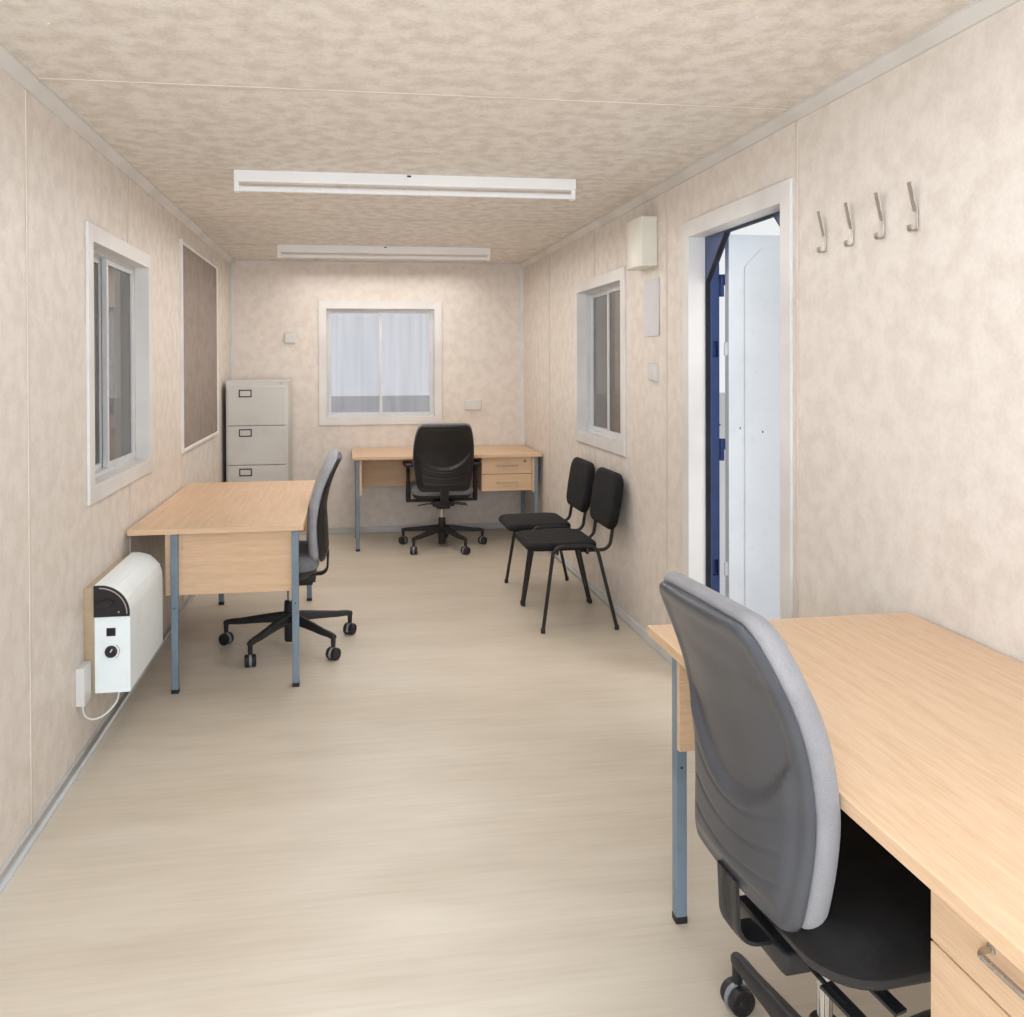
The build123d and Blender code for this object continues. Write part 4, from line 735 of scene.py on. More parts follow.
class Joinery:
    """Copies a node's flat-sided solids and softens their edges."""

    MERGE = 1e-5
    FLAT = math.radians(0.5)
    SHARP = math.radians(40)

    def copy(self, node: str) -> bmesh.types.BMesh:
        """Copy a node's mesh, with its doubles merged and its flat faces made whole.

        Args:
            node: The node's name.

        Returns:
            The copy.
        """
        shape = bmesh.new()
        shape.from_mesh(bpy.data.objects[node].data)
        bmesh.ops.remove_doubles(shape, verts=shape.verts, dist=self.MERGE)
        bmesh.ops.dissolve_limit(shape, angle_limit=self.FLAT, verts=shape.verts, edges=shape.edges)
        return shape

    def soften(self, name: str, shape: bmesh.types.BMesh, width: float) -> bpy.types.Mesh:
        """Round a shape's edges.

        Args:
            name: The new mesh's name.
            shape: The shape, which is used up.
            width: The radius of the edges, or 0 to leave them.

        Returns:
            A smooth-shaded mesh.
        """
        mesh = bpy.data.meshes.new(name)
        for face in shape.faces:
            face.smooth = True
        shape.to_mesh(mesh)
        shape.free()
        holder = bpy.data.objects.new(name, mesh)
        bpy.context.scene.collection.objects.link(holder)
        for edge in mesh.edges:
            edge.use_edge_sharp = False
        if width:
            rounding = holder.modifiers.new("edges", "BEVEL")
            rounding.width = width
            rounding.segments = 2
            rounding.limit_method = "ANGLE"
            rounding.angle_limit = self.SHARP
            rounding.use_clamp_overlap = True
            rounding.miter_outer = "MITER_SHARP"
            holder.modifiers.new("shading", "WEIGHTED_NORMAL").keep_sharp = True
        else:
            mesh.set_sharp_from_angle(angle=self.SHARP)
        return baked(holder, name)

    def islands(self, shape: bmesh.types.BMesh) -> list[list[bmesh.types.BMFace]]:
        """Part a shape into its solids, in the order of their first faces.

        Args:
            shape: The shape.

        Returns:
            The faces of each solid.
        """
        left = set(shape.faces)
        found = []
        for first in shape.faces:
            if first not in left:
                continue
            left.remove(first)
            queue = [first]
            island = [first]
            while queue:
                for edge in queue.pop().edges:
                    fresh = [face for face in edge.link_faces if face in left]
                    left.difference_update(fresh)
                    island += fresh
                    queue += fresh
            found.append(island)
        return found

    def dress(self) -> None:
        """Soften and dress every node of the table."""
        for node, (finish, width) in SOFTENED_NODES.items():
            mesh = self.soften(f"{node}_soft", self.copy(node), width)
            settle(f"{node}_finished", mesh, finish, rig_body(node), [node])


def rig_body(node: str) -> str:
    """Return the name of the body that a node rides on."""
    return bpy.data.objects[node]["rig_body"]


def rounded(points: Sequence[Point], bend: float, steps: int = 6) -> list[Vector]:
    """Round the corners of a path.

    Args:
        points: The path's corners.
        bend: The radius of the bends.
        steps: How many pieces a bend has.

    Returns:
        The points of the rounded path.
    """
    path = [Vector(points[0])]
    for before, corner, after in zip(points, points[1:], points[2:]):
        middle = Vector(corner)
        back, ahead = Vector(before) - middle, Vector(after) - middle
        half = back.angle(ahead) / 2
        reach = min(bend / math.tan(half), 0.48 * back.length, 0.48 * ahead.length)
        radius = reach * math.tan(half)
        start, end = middle + back.normalized() * reach, middle + ahead.normalized() * reach
        centre = middle + (back.normalized() + ahead.normalized()).normalized() * (radius / math.sin(half))
        first, last = (start - centre).normalized(), (end - centre).normalized()
        path += [centre + first.slerp(last, step / steps) * radius for step in range(steps + 1)]
    path.append(Vector(points[-1]))
    return path


def smooth(value: float) -> float:
    """Ease a value between 0 and 1."""
    share = min(max(value, 0.0), 1.0)
    return share * share * (3 - 2 * share)


class Maker:
    """Builds one piece from lofts, turned shapes, tubes and bricks, in a place that can be moved."""

    SHARP = math.radians(38)

    def __init__(self, name: str, finish: Finish, body: str = CABIN, nodes: Sequence[str] = ()) -> None:
        """Start an empty piece.

        Args:
            name: The piece's name.
            finish: Its finish.
            body: The body that it rides on.
            nodes: The nodes that it stands for.
        """
        self.name = name
        self.finish = finish
        self.body = body
        self.nodes = nodes
        self.shape = bmesh.new()
        self.at = Matrix()

    def loft(self, rings: Sequence[Sequence[Point]], capped: bool = True) -> None:
        """Skin a row of closed rings.

        Args:
            rings: The rings, all with the same number of points.
            capped: Whether both ends are closed.
        """
        rows = [[self.shape.verts.new(self.at @ Vector(point)) for point in ring] for ring in rings]
        count = len(rows[0])
        for low, high in zip(rows, rows[1:]):
            for i in range(count):
                after = (i + 1) % count
                self.shape.faces.new((low[i], low[after], high[after], high[i]))
        if capped:
            self.shape.faces.new(list(reversed(rows[0])))
            self.shape.faces.new(rows[-1])

    def tube(self, path: Sequence[Point], radius: float, sides: int = 12) -> None:
        """Sweep a round section along a path.

        Args:
            path: The path.
            radius: The tube's radius.
            sides: How many sides its section has.
        """
        self.strap(path, [(radius * math.cos(math.tau * i / sides),
                           radius * math.sin(math.tau * i / sides)) for i in range(sides)])

    def strap(self, path: Sequence[Point], section: Sequence[tuple[float, float]], up: Optional[Point] = None) -> None:
        """Sweep a section along a path.

        Args:
            path: The path.
            section: The section's points, across and up.
            up: Which way the section's upright points at the start.
        """
        points = [Vector(point) for point in path]
        last = len(points) - 1
        rings = []
        upright = Vector(up) if up else (points[1] - points[0]).orthogonal()
        for i, point in enumerate(points):
            ahead = (points[min(i + 1, last)] - points[max(i - 1, 0)]).normalized()
            upright = (upright - ahead * upright.dot(ahead)).normalized()
            across = ahead.cross(upright)
            rings.append([point + across * a + upright * b for a, b in section])
        self.loft(rings)

    def turned(self, profile: Sequence[tuple[float, float]], start: Point, axis: Point, sides: int = 24) -> None:
        """Turn a profile about an axis.

        Args:
            profile: Radii and distances along the axis.
            start: Where the axis starts.
            axis: Which way it runs.
            sides: How many sides the turned shape has.
        """
        ahead = Vector(axis).normalized()
        across = ahead.orthogonal().normalized()
        up = ahead.cross(across)
        turns = [math.tau * i / sides for i in range(sides)]
        self.loft([[Vector(start) + ahead * along
                    + (across * math.cos(turn) + up * math.sin(turn)) * radius for turn in turns]
                   for radius, along in profile])

    def brick(self, low: Point, high: Point, edge: float = 0.0015, segments: int = 2) -> None:
        """Add a box with rounded edges.

        Args:
            low: Its low corner.
            high: Its high corner.
            edge: The radius of its edges.
            segments: How many faces round an edge.
        """
        size = [b - a for a, b in zip(low, high)]
        middle = [(a + b) / 2 for a, b in zip(low, high)]
        place = self.at @ Matrix.Translation(middle) @ Matrix.Diagonal((*size, 1))
        made = bmesh.ops.create_cube(self.shape, size=1, matrix=place)["verts"]
        edges = list(dict.fromkeys(edge for vert in made for edge in vert.link_edges))
        bmesh.ops.bevel(self.shape, geom=edges, offset=min(edge, min(size) * 0.45), segments=segments, profile=0.5,
                        affect="EDGES")

    def slab(self, half: tuple[float, float], corner: float, layers: Sequence[tuple[float, float]],
             centre: tuple[float, float] = (0, 0), steps: int = 7) -> None:
        """Stack rounded rectangles.

        Args:
            half: Half the sides of the widest rectangle.
            corner: The radius of its corners.
            layers: Each layer's inset and height.
            centre: The middle of the rectangles.
            steps: How many pieces a corner has.
        """
        rings = []
        for inset, height in layers:
            a, b, radius = half[0] - inset, half[1] - inset, max(corner - inset, 0.001)
            ring = []
            for k, (sx, sy) in enumerate(((1, 1), (-1, 1), (-1, -1), (1, -1))):
                for step in range(steps + 1):
                    turn = (k + step / steps) * math.pi / 2
                    ring.append((centre[0] + sx * (a - radius) + radius * math.cos(turn),
                                 centre[1] + sy * (b - radius) + radius * math.sin(turn), height))
            rings.append(ring)
        self.loft(rings)

    def pillow(self, outline: "Outline", lay: Callable, sides: tuple[Callable, Callable, Callable],
               columns: int = 36) -> None:
        """Fill an outline with a front and a rear surface that meet at its rim.

        Args:
            outline: The outline.
            lay: Turns a distance across, a height and a depth into a point.
            sides: The depths of the rim, the front and the rear, each from a place and its distance to the rim.
            columns: How many faces cross the outline.
        """
        rim, front, rear = sides
        heights = outline.rows()
        top = len(heights) - 1
        grids = ([], [])
        for i, height in enumerate(heights):
            half = outline.half(height)
            rows = ([], [])
            for j in range(columns + 1):
                across = half * math.sin(math.pi / 2 * (2 * j / columns - 1))
                if i in (0, top) or j in (0, columns):
                    vert = self.shape.verts.new(self.at @ Vector(lay(across, height, rim(across, height))))
                    rows[0].append(vert)
                    rows[1].append(vert)
                    continue
                gap = outline.gap(across, height)
                for row, depth in zip(rows, (front, rear)):
                    row.append(self.shape.verts.new(self.at @ Vector(lay(across, height, depth(across, height, gap)))))
            for grid, row in zip(grids, rows):
                grid.append(row)
        for grid in grids:
            for low, high in zip(grid, grid[1:]):
                for j in range(columns):
                    corners = []
                    for vert in (low[j], low[j + 1], high[j + 1], high[j]):
                        if vert not in corners:
                            corners.append(vert)
                    if grid is grids[0] or not all(vert in set(grids[0][0] + grids[0][-1]) for vert in corners):
                        self.shape.faces.new(corners if grid is grids[0] else corners[::-1])

    def settle(self) -> bpy.types.Object:
        """Finish the mesh and put the piece into the scene.

        Returns:
            The piece's object.
        """
        bmesh.ops.recalc_face_normals(self.shape, faces=self.shape.faces)
        for face in self.shape.faces:
            face.smooth = True
        mesh = bpy.data.meshes.new(self.name)
        self.shape.to_mesh(mesh)
        self.shape.free()
        mesh.set_sharp_from_angle(angle=self.SHARP)
        return settle(self.name, mesh, self.finish, self.body, self.nodes)


class Outline:
    """A closed outline with rounded corners, the same on both sides of its middle."""

    SAMPLE = 0.001
    CLOSEST = 0.0006
    INSETS = (0.001, 0.003, 0.006, 0.010, 0.015, 0.022)

    def __init__(self, corners: Sequence[tuple[float, float]], radius: float, step: float = 0.012) -> None:
        """Round the outline.

        Args:
            corners: Half widths and heights, from the foot to the head.
            radius: The radius of the corners.
            step: How far apart its rows lie at most.
        """
        foot, head = corners[0][1], corners[-1][1]
        path = rounded([(0, foot, 0), *[(x, z, 0) for x, z in corners], (0, head, 0)], radius, 10)
        self.right = [(point.x, point.y) for point in path]
        self.foot, self.head, self.step = foot, head, step
        self.fine: list[tuple[float, float, float]] = []
        samples = []
        for (x, z), (after_x, after_z) in zip(self.right, self.right[1:]):
            count = max(2, int(math.hypot(after_x - x, after_z - z) / self.SAMPLE))
            for k in range(count):
                share = k / count
                samples.append((x + (after_x - x) * share, z + (after_z - z) * share))
        self.tree = KDTree(2 * len(samples))
        for index, (x, z) in enumerate(samples):
            self.tree.insert((x, z, 0), 2 * index)
            self.tree.insert((-x, z, 0), 2 * index + 1)
        self.tree.balance()

    def half(self, height: float) -> float:
        """Measure the outline at a height.

        Args:
            height: The height.

        Returns:
            Half its width there.
        """
        best = 0.0
        for (x, z), (after_x, after_z) in zip(self.right, self.right[1:]):
            if min(z, after_z) - 1e-9 <= height <= max(z, after_z) + 1e-9:
                share = 0.0 if abs(after_z - z) < 1e-9 else (height - z) / (after_z - z)
                best = max(best, x + (after_x - x) * share, x if abs(after_z - z) < 1e-9 else 0.0)
        return best

    def gap(self, across: float, height: float) -> float:
        """Return how far a place inside is from the outline."""
        return self.tree.find((across, height, 0))[2]

    def rows(self) -> list[float]:
        """Set out the rows, closer together at the ends and where they are asked to be fine.

        Returns:
            Their heights.
        """
        marks = {round(z, 6) for x, z in self.right}
        for inset in self.INSETS:
            marks |= {round(self.foot + inset, 6), round(self.head - inset, 6)}
        for low, high, step in self.fine:
            marks |= {round(low + k * step, 6) for k in range(int((high - low) / step) + 1)}
        ordered = sorted(marks)
        rows = [ordered[0]]
        for mark in ordered[1:]:
            room = mark - rows[-1]
            if room < self.CLOSEST and mark != ordered[-1]:
                continue
            count = max(1, math.ceil(room / self.step))
            low = rows[-1]
            rows += [low + room * k / count for k in range(1, count + 1)]
        return rows


def rolled(gap: float, radius: float, power: float = 2.0) -> float:
    """Tell how full a rounded rim is at a distance from its edge, from 0 at the edge to 1 past the radius."""
    share = min(max(gap / radius, 0.0), 1.0)
    return (1 - (1 - share) ** power) ** (1 / power)


def at_height(table: Sequence[tuple[float, ...]], height: float, column: int) -> float:
    """Read a column of a table of heights as a smooth curve.

    Args:
        table: Rows that start with a height.
        height: The height.
        column: Which column is read.

    Returns:
        The column's value at the height.
    """
    last = len(table) - 1
    k = max((i for i in range(last) if table[i][0] <= height), default=0)
    rows = [table[min(max(i, 0), last)] for i in range(k - 1, k + 3)]
    span = rows[2][0] - rows[1][0]
    share = (height - rows[1][0]) / span
    slopes = [(after[column] - before[column]) / (after[0] - before[0]) * span for before,
              after in ((rows[0], rows[2]), (rows[1], rows[3]))]
    a, b = rows[1][column], rows[2][column]
    return ((2 * share ** 3 - 3 * share ** 2 + 1) * a + (share ** 3 - 2 * share ** 2 + share) * slopes[0]
            + (3 * share ** 2 - 2 * share ** 3) * b + (share ** 3 - share ** 2) * slopes[1])


def stood(x: float, y: float, turn: float, lift: float = 0.0) -> Matrix:
    """Return the matrix that stands a shape on the room's floor, turned by an angle in degrees."""
    return Matrix.Translation((x, y, FLOOR + lift)) @ Matrix.Rotation(math.radians(turn), 4, "Z")


@dataclass(frozen=True)
class ChairSpot:
    """Where a swivel chair stands, and what it has."""

    name: str
    place: tuple[float, float]
    turn: float
    star_turn: float
    lift: float
    shell: Finish
    cloth: Finish
    seat: Finish
    armed: bool = False
    shell_share: float = 1.0
    cloth_share: float = 1.0

    def frame(self, lift: bool, turn: float) -> Matrix:
        """Return the matrix that stands a shape of the chair in the room."""
        return stood(*self.place, turn, self.lift if lift else 0.0)


@dataclass
class SwivelChairs:
    """The three swivel chairs: star, castors, lift, mechanism, seat, shell, cushion and arms."""

    spots: tuple[ChairSpot, ...] = (
        ChairSpot("left_chair", (-0.588, 1.24), 90, 24, 0.0, SHELL, BACK_CLOTH, SEAT_CLOTH),
        ChairSpot("far_chair", (0.446, 3.475), 0, 8, 0.0, SHELL, SEAT_CLOTH, SEAT_CLOTH, True),
        # The near chair's seat is near-black visitor cloth: painted shade, since it sits in the shade under the near
        # desk
        ChairSpot("near_chair", (0.578, -1.79), -86, 20, 0.05, PALE_SHELL, PALE_CLOTH, VISITOR_CLOTH_AND_DESK_SHADE, False, 0.855,
                  0.885))
    profile: tuple[tuple[float, float, float], ...] = (
        (0.45, 0.163, 0.196), (0.6, 0.152, 0.188), (0.69, 0.154, 0.191), (0.83, 0.184, 0.218), (1.03, 0.276, 0.297))
    half: float = 0.235
    shell_rise: tuple[float, float] = (0.462, 0.978)
    cushion_rise: tuple[float, float] = (0.468, 0.993)
    star_radius: float = 0.335
    crease: tuple[float, float] = (0.652, 0.17)
    grooves: tuple[tuple[float, float], ...] = ((0.612, 0.085), (0.566, 0.06), (0.522, 0.04))
    lip: float = 0.012
    rim: float = 0.022
    seat_rim: float = 0.450

    def back_outline(self, rise: tuple[float, float], margin: float, step: float) -> Outline:
        """Draw the backrest's outline between two heights.

        Args:
            rise: The heights of its foot and its head.
            margin: How far inside the shell's edge it lies.
            step: How far apart its rows lie at most.

        Returns:
            The outline.
        """
        shares = ((0.0, 0.84), (0.12, 0.9), (0.3, 0.965), (0.5, 1.0), (0.68, 0.985), (0.85, 0.925), (1.0, 0.83))
        steps = [index / 24 for index in range(25)]
        corners = [((self.half - margin) * at_height(shares, share, 1), rise[0] + (rise[1] - rise[0]) * share)
                   for share in steps if share in (0.0, 1.0) or 0.16 < share < 0.84]
        return Outline(corners, 0.075, step)

    def shell_depth(self, x: float, z: float, gap: float) -> float:
        """Shape the shell's rear, with its lip, its crease and its grooves.

        Args:
            x: A place across the shell.
            z: Its height.
            gap: Its distance to the rim.

        Returns:
            How far back the rear stands there.
        """
        edge, middle = at_height(self.profile, z, 1), at_height(self.profile, z, 2)
        share = x / self.half
        depth = edge + self.lip + (middle - edge - self.lip) * (1 - share ** 2)
        low, rise = self.crease
        below = smooth((low + rise * abs(share) ** 2.4 - z) / 0.03)
        inner = smooth((gap - 0.02) / 0.03)
        depth += 0.009 * below * inner
        depth -= 0.0045 * smooth((gap - 0.024) / 0.016) * (1 - below)
        for height, lift in self.grooves:
            off = abs(z - height - lift * share ** 2) / 0.0042
            if off < 1:
                depth -= 0.0024 * (1 - off ** 2) * smooth((0.78 - abs(share)) / 0.12)
        return edge + (depth - edge) * rolled(gap, 0.016)

    def shells(self) -> None:
        """Mould the shells."""
        outline = self.back_outline(self.shell_rise, 0.0, 0.012)
        outline.fine = [(0.505, 0.69, 0.0023)]
        for spot in self.spots:
            maker = Maker(f"{spot.name}_shell", spot.shell, nodes=["chair_shells"])
            maker.at = spot.frame(True, spot.turn) @ Matrix.Diagonal((spot.shell_share, 1, 1, 1))
            maker.pillow(outline, lambda x, z, depth: (x, -depth, z), (
                lambda x, z: at_height(self.profile, z, 1) + 0.001,
                lambda x, z, gap: at_height(self.profile, z, 1),
                self.shell_depth), 44)
            maker.settle()

    def cushion_front(self, x: float, z: float, gap: float) -> float:
        """Shape the front of the back cushion.

        Args:
            x: A place across the cushion.
            z: Its height.
            gap: Its distance to the rim.

        Returns:
            How far back the front stands there.
        """
        edge = at_height(self.profile, z, 1)
        share = x / self.half
        thick = 0.05 + 0.006 * (1 - share ** 2)
        return edge - self.rim - (thick - self.rim) * rolled(gap, 0.034, 2.2)

    def seat_top(self, x: float, y: float, gap: float) -> float:
        """Shape the top of the seat, which falls away to its front.

        Args:
            x: A place across the seat.
            y: Its place along the seat.
            gap: Its distance to the rim.

        Returns:
            The top's height there.
        """
        thick = 0.048 - 0.012 * smooth((y - 0.16) / 0.16)
        return self.seat_rim + thick * rolled(gap, 0.05, 2.2) + 0.002 * smooth(gap / 0.2)

    def cushions(self) -> None:
        """Pad the backs and the seats."""
        back = self.back_outline(self.cushion_rise, -0.003, 0.013)
        seat = Outline(((0.245, -0.155), (0.245, 0.305)), 0.11, 0.014)
        for spot in self.spots:
            maker = Maker(f"{spot.name}_back", spot.cloth, nodes=["chair_backs"])
            maker.at = spot.frame(True, spot.turn) @ Matrix.Diagonal((spot.cloth_share, 1, 1, 1))
            maker.pillow(back, lambda x, z, depth: (x, -depth, z), (
                lambda x, z: at_height(self.profile, z, 1) - self.rim,
                self.cushion_front,
                lambda x, z, gap: at_height(self.profile, z, 1) - self.rim + 0.020 * rolled(gap, 0.02)), 32)
            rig.padded(maker.settle(), fill=0.8)
            maker = Maker(f"{spot.name}_seat", spot.seat, nodes=["chair_seats"])
            maker.at = spot.frame(True, spot.turn)
            maker.pillow(seat, lambda x, y, height: (x, y, height), (
                lambda x, y: self.seat_rim,
                self.seat_top,
                lambda x, y, gap: self.seat_rim - 0.025 * rolled(gap, 0.02)), 34)
            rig.padded(maker.settle(), fill=0.8)

    def stars(self) -> None:
        """Make the star bases, the lifts and the castors."""
        stars = Maker("chair_stars_finished", BLACK, nodes=["chair_stars"])
        lifts = Maker("chair_lifts", CHROME, nodes=["chair_stars"])
        wheels = Maker("chair_wheels", BLACK, nodes=["chair_castors"])
        hoods = Maker("chair_castor_hoods", LEG_GREY, nodes=["chair_castors"])
        section = ((-0.5, -0.5), (0.5, -0.5), (0.5, 0.12), (0.3, 0.42), (0.18, 0.5), (-0.18, 0.5), (-0.3, 0.42),
                   (-0.5, 0.12))
        for spot in self.spots:
            stars.at = lifts.at = spot.frame(False, spot.star_turn)
            stars.turned(((0.02, 0.024), (0.026, 0.026), (0.028, 0.034), (0.028, 0.1), (0.038, 0.104), (0.038, 0.166),
                          (0.034, 0.176),
                          (0.029, 0.18), (0.028, 0.228), (0.025, 0.232), (0.016, 0.232)), (0, 0, 0), (0, 0, 1), 28)
            lifts.turned(((0.014, 0.22), (0.014, 0.304 + spot.lift)), (0, 0, 0), (0, 0, 1), 20)
            for k in range(5):
                turn = spot.star_turn + k * 72
                stars.at = spot.frame(False, turn)
                rings = []
                for reach in (0.018, 0.05, 0.09, 0.14, 0.2, 0.26, 0.305, 0.33, 0.346):
                    share = (reach - 0.018) / 0.328
                    wide = 0.05 - 0.022 * share - 0.004 * math.sin(math.pi * share)
                    deep = 0.052 - 0.029 * share ** 0.8
                    top = 0.176 - 0.054 * share ** 1.15 + (0.004 if reach > 0.3 else 0)
                    taper = 0.8 if reach > 0.34 else 1.0
                    rings.append([(reach, a * wide * taper, top - deep / 2 + b * deep * taper) for a, b in section])
                stars.loft(rings)
                stars.turned(((0.008, 0.062), (0.011, 0.064), (0.0125, 0.1), (0.0125, 0.116), (0.010, 0.122)),
                             (self.star_radius, 0, 0), (0, 0, 1), 16)
                wheels.at = hoods.at = (spot.frame(False, turn) @ Matrix.Translation((self.star_radius, 0, 0))
                                        @ Matrix.Rotation(math.radians(35 + 61 * k), 4, "Z"))
                for side in (-1, 1):
                    wheels.turned(((0.010, 0.006), (0.0285, 0.006), (0.030, 0.009), (0.030, 0.021), (0.0285, 0.0255),
                                   (0.024, 0.027),
                                   (0.021, 0.0245), (0.010, 0.0245), (0.008, 0.0262), (0.003, 0.0265)), (0, 0, 0.03),
                                  (0, side, 0), 26)
                wheels.turned(((0.006, 0.024), (0.006, 0.068)), (0, 0, 0), (0, 0, 1), 10)
                arc = [math.radians(-28 + 9 * step) for step in range(27)]
                hoods.loft([[(r * math.cos(a), y, 0.03 + r * math.sin(a)) for r,
                             y in ((0.018, -0.0055), (0.0312, -0.0055), (0.0312, 0.0055),
                                   (0.018, 0.0055))] for a in arc])
        for maker in (stars, lifts, wheels, hoods):
            maker.settle()

    def mechanisms(self) -> None:
        """Make the seat pans, the mechanisms with their levers, the spine bars and the arms."""
        boxes = Maker("chair_mechanisms_finished", BLACK_STEEL, nodes=["chair_mechanisms"])
        pans = Maker("chair_seat_pans", BLACK, nodes=["chair_mechanisms"])
        arms = Maker("arm_rests_finished", BLACK, nodes=["arm_rests"])
        for spot in self.spots:
            for maker in (boxes, pans, arms):
                maker.at = spot.frame(True, spot.turn)
            boxes.brick((-0.055, -0.12, 0.318), (0.055, 0.075, 0.375), 0.008, 3)
            boxes.brick((-0.085, -0.135, 0.34), (0.085, 0.095, 0.381), 0.006, 3)
            boxes.turned(((0.026, 0.302), (0.03, 0.306), (0.03, 0.33)), (0, 0, 0), (0, 0, 1), 20)
            boxes.turned(((0.016, 0.0), (0.019, 0.003), (0.019, 0.028), (0.015, 0.032)), (0, 0.07, 0.345), (0, 1, 0),
                         14)
            for side, y in ((1, -0.01), (1, -0.085), (-1, -0.05)):
                path = rounded([(side * 0.05, y, 0.35), (side * 0.12, y, 0.35), (side * 0.165, y + 0.01, 0.342)], 0.03)
                boxes.tube(path, 0.0045, 8)
                boxes.strap(path[-2:] + [path[-1] + (path[-1] - path[-2]).normalized() * 0.03],
                            ((-0.013, -0.003), (0.013, -0.003), (0.013, 0.003), (-0.013, 0.003)), (0, 0, 1))
            pans.slab((0.235, 0.22), 0.1,
                      ((0.075, 0.379), (0.05, 0.381), (0.012, 0.404), (0.002, 0.418), (0.001, 0.4275)), (0, 0.075))
            path = rounded([(0, -0.11, 0.366), (0, -0.192, 0.366), (0, -0.197, 0.485)], 0.05, 10)
            section = ((-0.033, -0.004), (-0.026, -0.006), (0.026, -0.006), (0.033, -0.004), (0.033, 0.003),
                       (0.026, 0.005), (0.018, 0.003), (0.012, 0.0055),
                       (0.006, 0.003), (0.0, 0.0055), (-0.006, 0.003), (-0.012, 0.0055), (-0.018, 0.003),
                       (-0.026, 0.005), (-0.033, 0.003))
            boxes.strap(path, section, (0, 0, -1))
            if spot.armed:
                for side in (-1, 1):
                    x = side * 0.265
                    arms.brick((min(side * 0.085, x), -0.024, 0.362), (max(side * 0.085, x), 0.024, 0.38), 0.005, 3)
                    rings = []
                    for height, wide, deep in ((0.362, 0.016, 0.024), (0.40, 0.018, 0.025), (0.52, 0.016, 0.022),
                                               (0.53, 0.0135, 0.019), (0.63, 0.0135, 0.019), (0.652, 0.018, 0.025)):
                        rings.append([(x + wide * math.cos(a) * 1.1, deep * math.sin(a) * 1.1,
                                       height) for a in [math.tau * (i + 0.5) / 12 for i in range(12)]])
                    arms.loft(rings)
                    arms.slab((0.04, 0.12), 0.03,
                              ((0.008, 0.648), (0.002, 0.652), (0.0, 0.66), (0.003, 0.669), (0.01, 0.675)), (x, 0))
        for maker in (boxes, pans, arms):
            maker.settle()

    def build(self) -> None:
        """Build every part of the chairs."""
        self.stars()
        self.mechanisms()
        self.shells()
        self.cushions()


@dataclass
class VisitorChairs:
    """The two stacking chairs of bent tube with padded seats and backs."""

    places: tuple[tuple[float, float], ...] = ((0.9099, 1.487), (0.9099, 2.037))
    turn: float = 90
    half: float = 0.225
    tube: float = 0.010
    bend: float = 0.055
    lean: float = 0.16
    rail: float = 0.415
    seat_tube: float = 0.4538
    seat_rim: float = 0.443
    back_rim: float = 0.029
    back_top: float = 0.832
    back_half: float = 0.158

    def upright_y(self, height: float) -> float:
        """Return how far back the leaning upright stands at a height."""
        return -0.235 - self.lean * (height - 0.425)

    def build(self) -> None:
        """Bend the frames and pad the seats and the backs."""
        frames = Maker("visitor_frames_finished", BLACK_STEEL, nodes=["visitor_frames"])
        feet = Maker("visitor_feet", BLACK, nodes=["visitor_frames"])
        seats = Maker("visitor_seats_finished", VISITOR_CLOTH_AND_DESK_SHADE, nodes=["visitor_seats"])
        backs = Maker("visitor_backs_finished", VISITOR_CLOTH_AND_DESK_SHADE, nodes=["visitor_backs"])
        seat = Outline(((0.212, -0.162), (0.212, 0.238)), 0.07, 0.012)
        back = Outline(((0.205, -self.back_half), (0.22, -0.02), (0.212, self.back_half)), 0.08, 0.012)
        middle = self.back_top - self.back_half
        for x, y in self.places:
            stand = stood(x, y, self.turn)
            for maker in (frames, feet, seats, backs):
                maker.at = stand
            for side in (-1, 1):
                high, low = side * self.half, side * 0.259
                path = rounded([(low, 0.167, 0.012), (high, 0.098, self.seat_tube), (high, -0.14, self.seat_tube),
                                (low, -0.243, 0.012)], self.bend, 8)
                frames.tube(path, self.tube, 14)
                for foot in (0.167, -0.243):
                    feet.turned(((0.0085, 0.0), (0.0125, 0.001), (0.0125, 0.022), (0.0105, 0.026)), (low, foot, 0),
                                (0, 0, 1), 14)
                across = side * 0.16
                top = self.upright_y(middle)
                frames.tube(rounded([(across, -0.06, self.rail), (across, self.upright_y(self.rail), self.rail),
                                     (across, top, middle)], self.bend, 8), self.tube, 14)
                for bar in (0.078, -0.09):
                    frames.tube([(high, bar, self.rail), (high, bar, 0.45)], 0.008, 10)
            for bar in (0.078, -0.09):
                frames.tube([(-self.half, bar, self.rail), (self.half, bar, self.rail)], 0.008, 12)
            seats.pillow(seat, lambda u, v, height: (u, v, height), (
                lambda u, v: self.seat_rim,
                lambda u, v, gap: (self.seat_rim + 0.026 * rolled(gap, 0.028, 2.2) + 0.004 * smooth(gap / 0.18)
                                   - 0.004 * smooth((v - 0.15) / 0.09)),
                lambda u, v, gap: self.seat_rim - 0.0175 * rolled(gap, 0.016)), 28)
            backs.at = stand @ Matrix.Translation((0, self.upright_y(middle) - 0.018,
                                                   middle)) @ Matrix.Rotation(math.atan(self.lean), 4, "X")
            backs.pillow(back, lambda u, v, depth: (u, depth, v), (
                lambda u, v: self.back_rim,
                lambda u, v, gap: self.back_rim + 0.026 * rolled(gap, 0.03, 2.2) + 0.003 * smooth(gap / 0.14),
                lambda u, v, gap: self.back_rim - 0.027 * rolled(gap, 0.026, 2.2)), 28)
        for maker in (frames, feet):
            maker.settle()
        for maker in (seats, backs):
            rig.padded(maker.settle(), fill=0.8)


@dataclass
class Glazier:
    """The window panes: tinted in the side walls, pale in the end walls."""

    side_x: float = 1.2

    def build(self) -> None:
        """Copy the panes of each kind into a piece of its own."""
        joinery = Joinery()
        for name, finish, at_side in (("side_panes", SIDE_GLASS, True), ("end_panes", END_GLASS, False)):
            shape = joinery.copy("window_glass")
            for island in joinery.islands(shape):
                middle = sum(abs(face.calc_center_median().x) for face in island) / len(island)
                if (middle > self.side_x) != at_side:
                    verts = list(dict.fromkeys(vert for face in island for vert in face.verts))
                    bmesh.ops.delete(shape, geom=verts, context="VERTS")
            settle(name, joinery.soften(name, shape, 0.0), finish, CABIN, ["window_glass"])


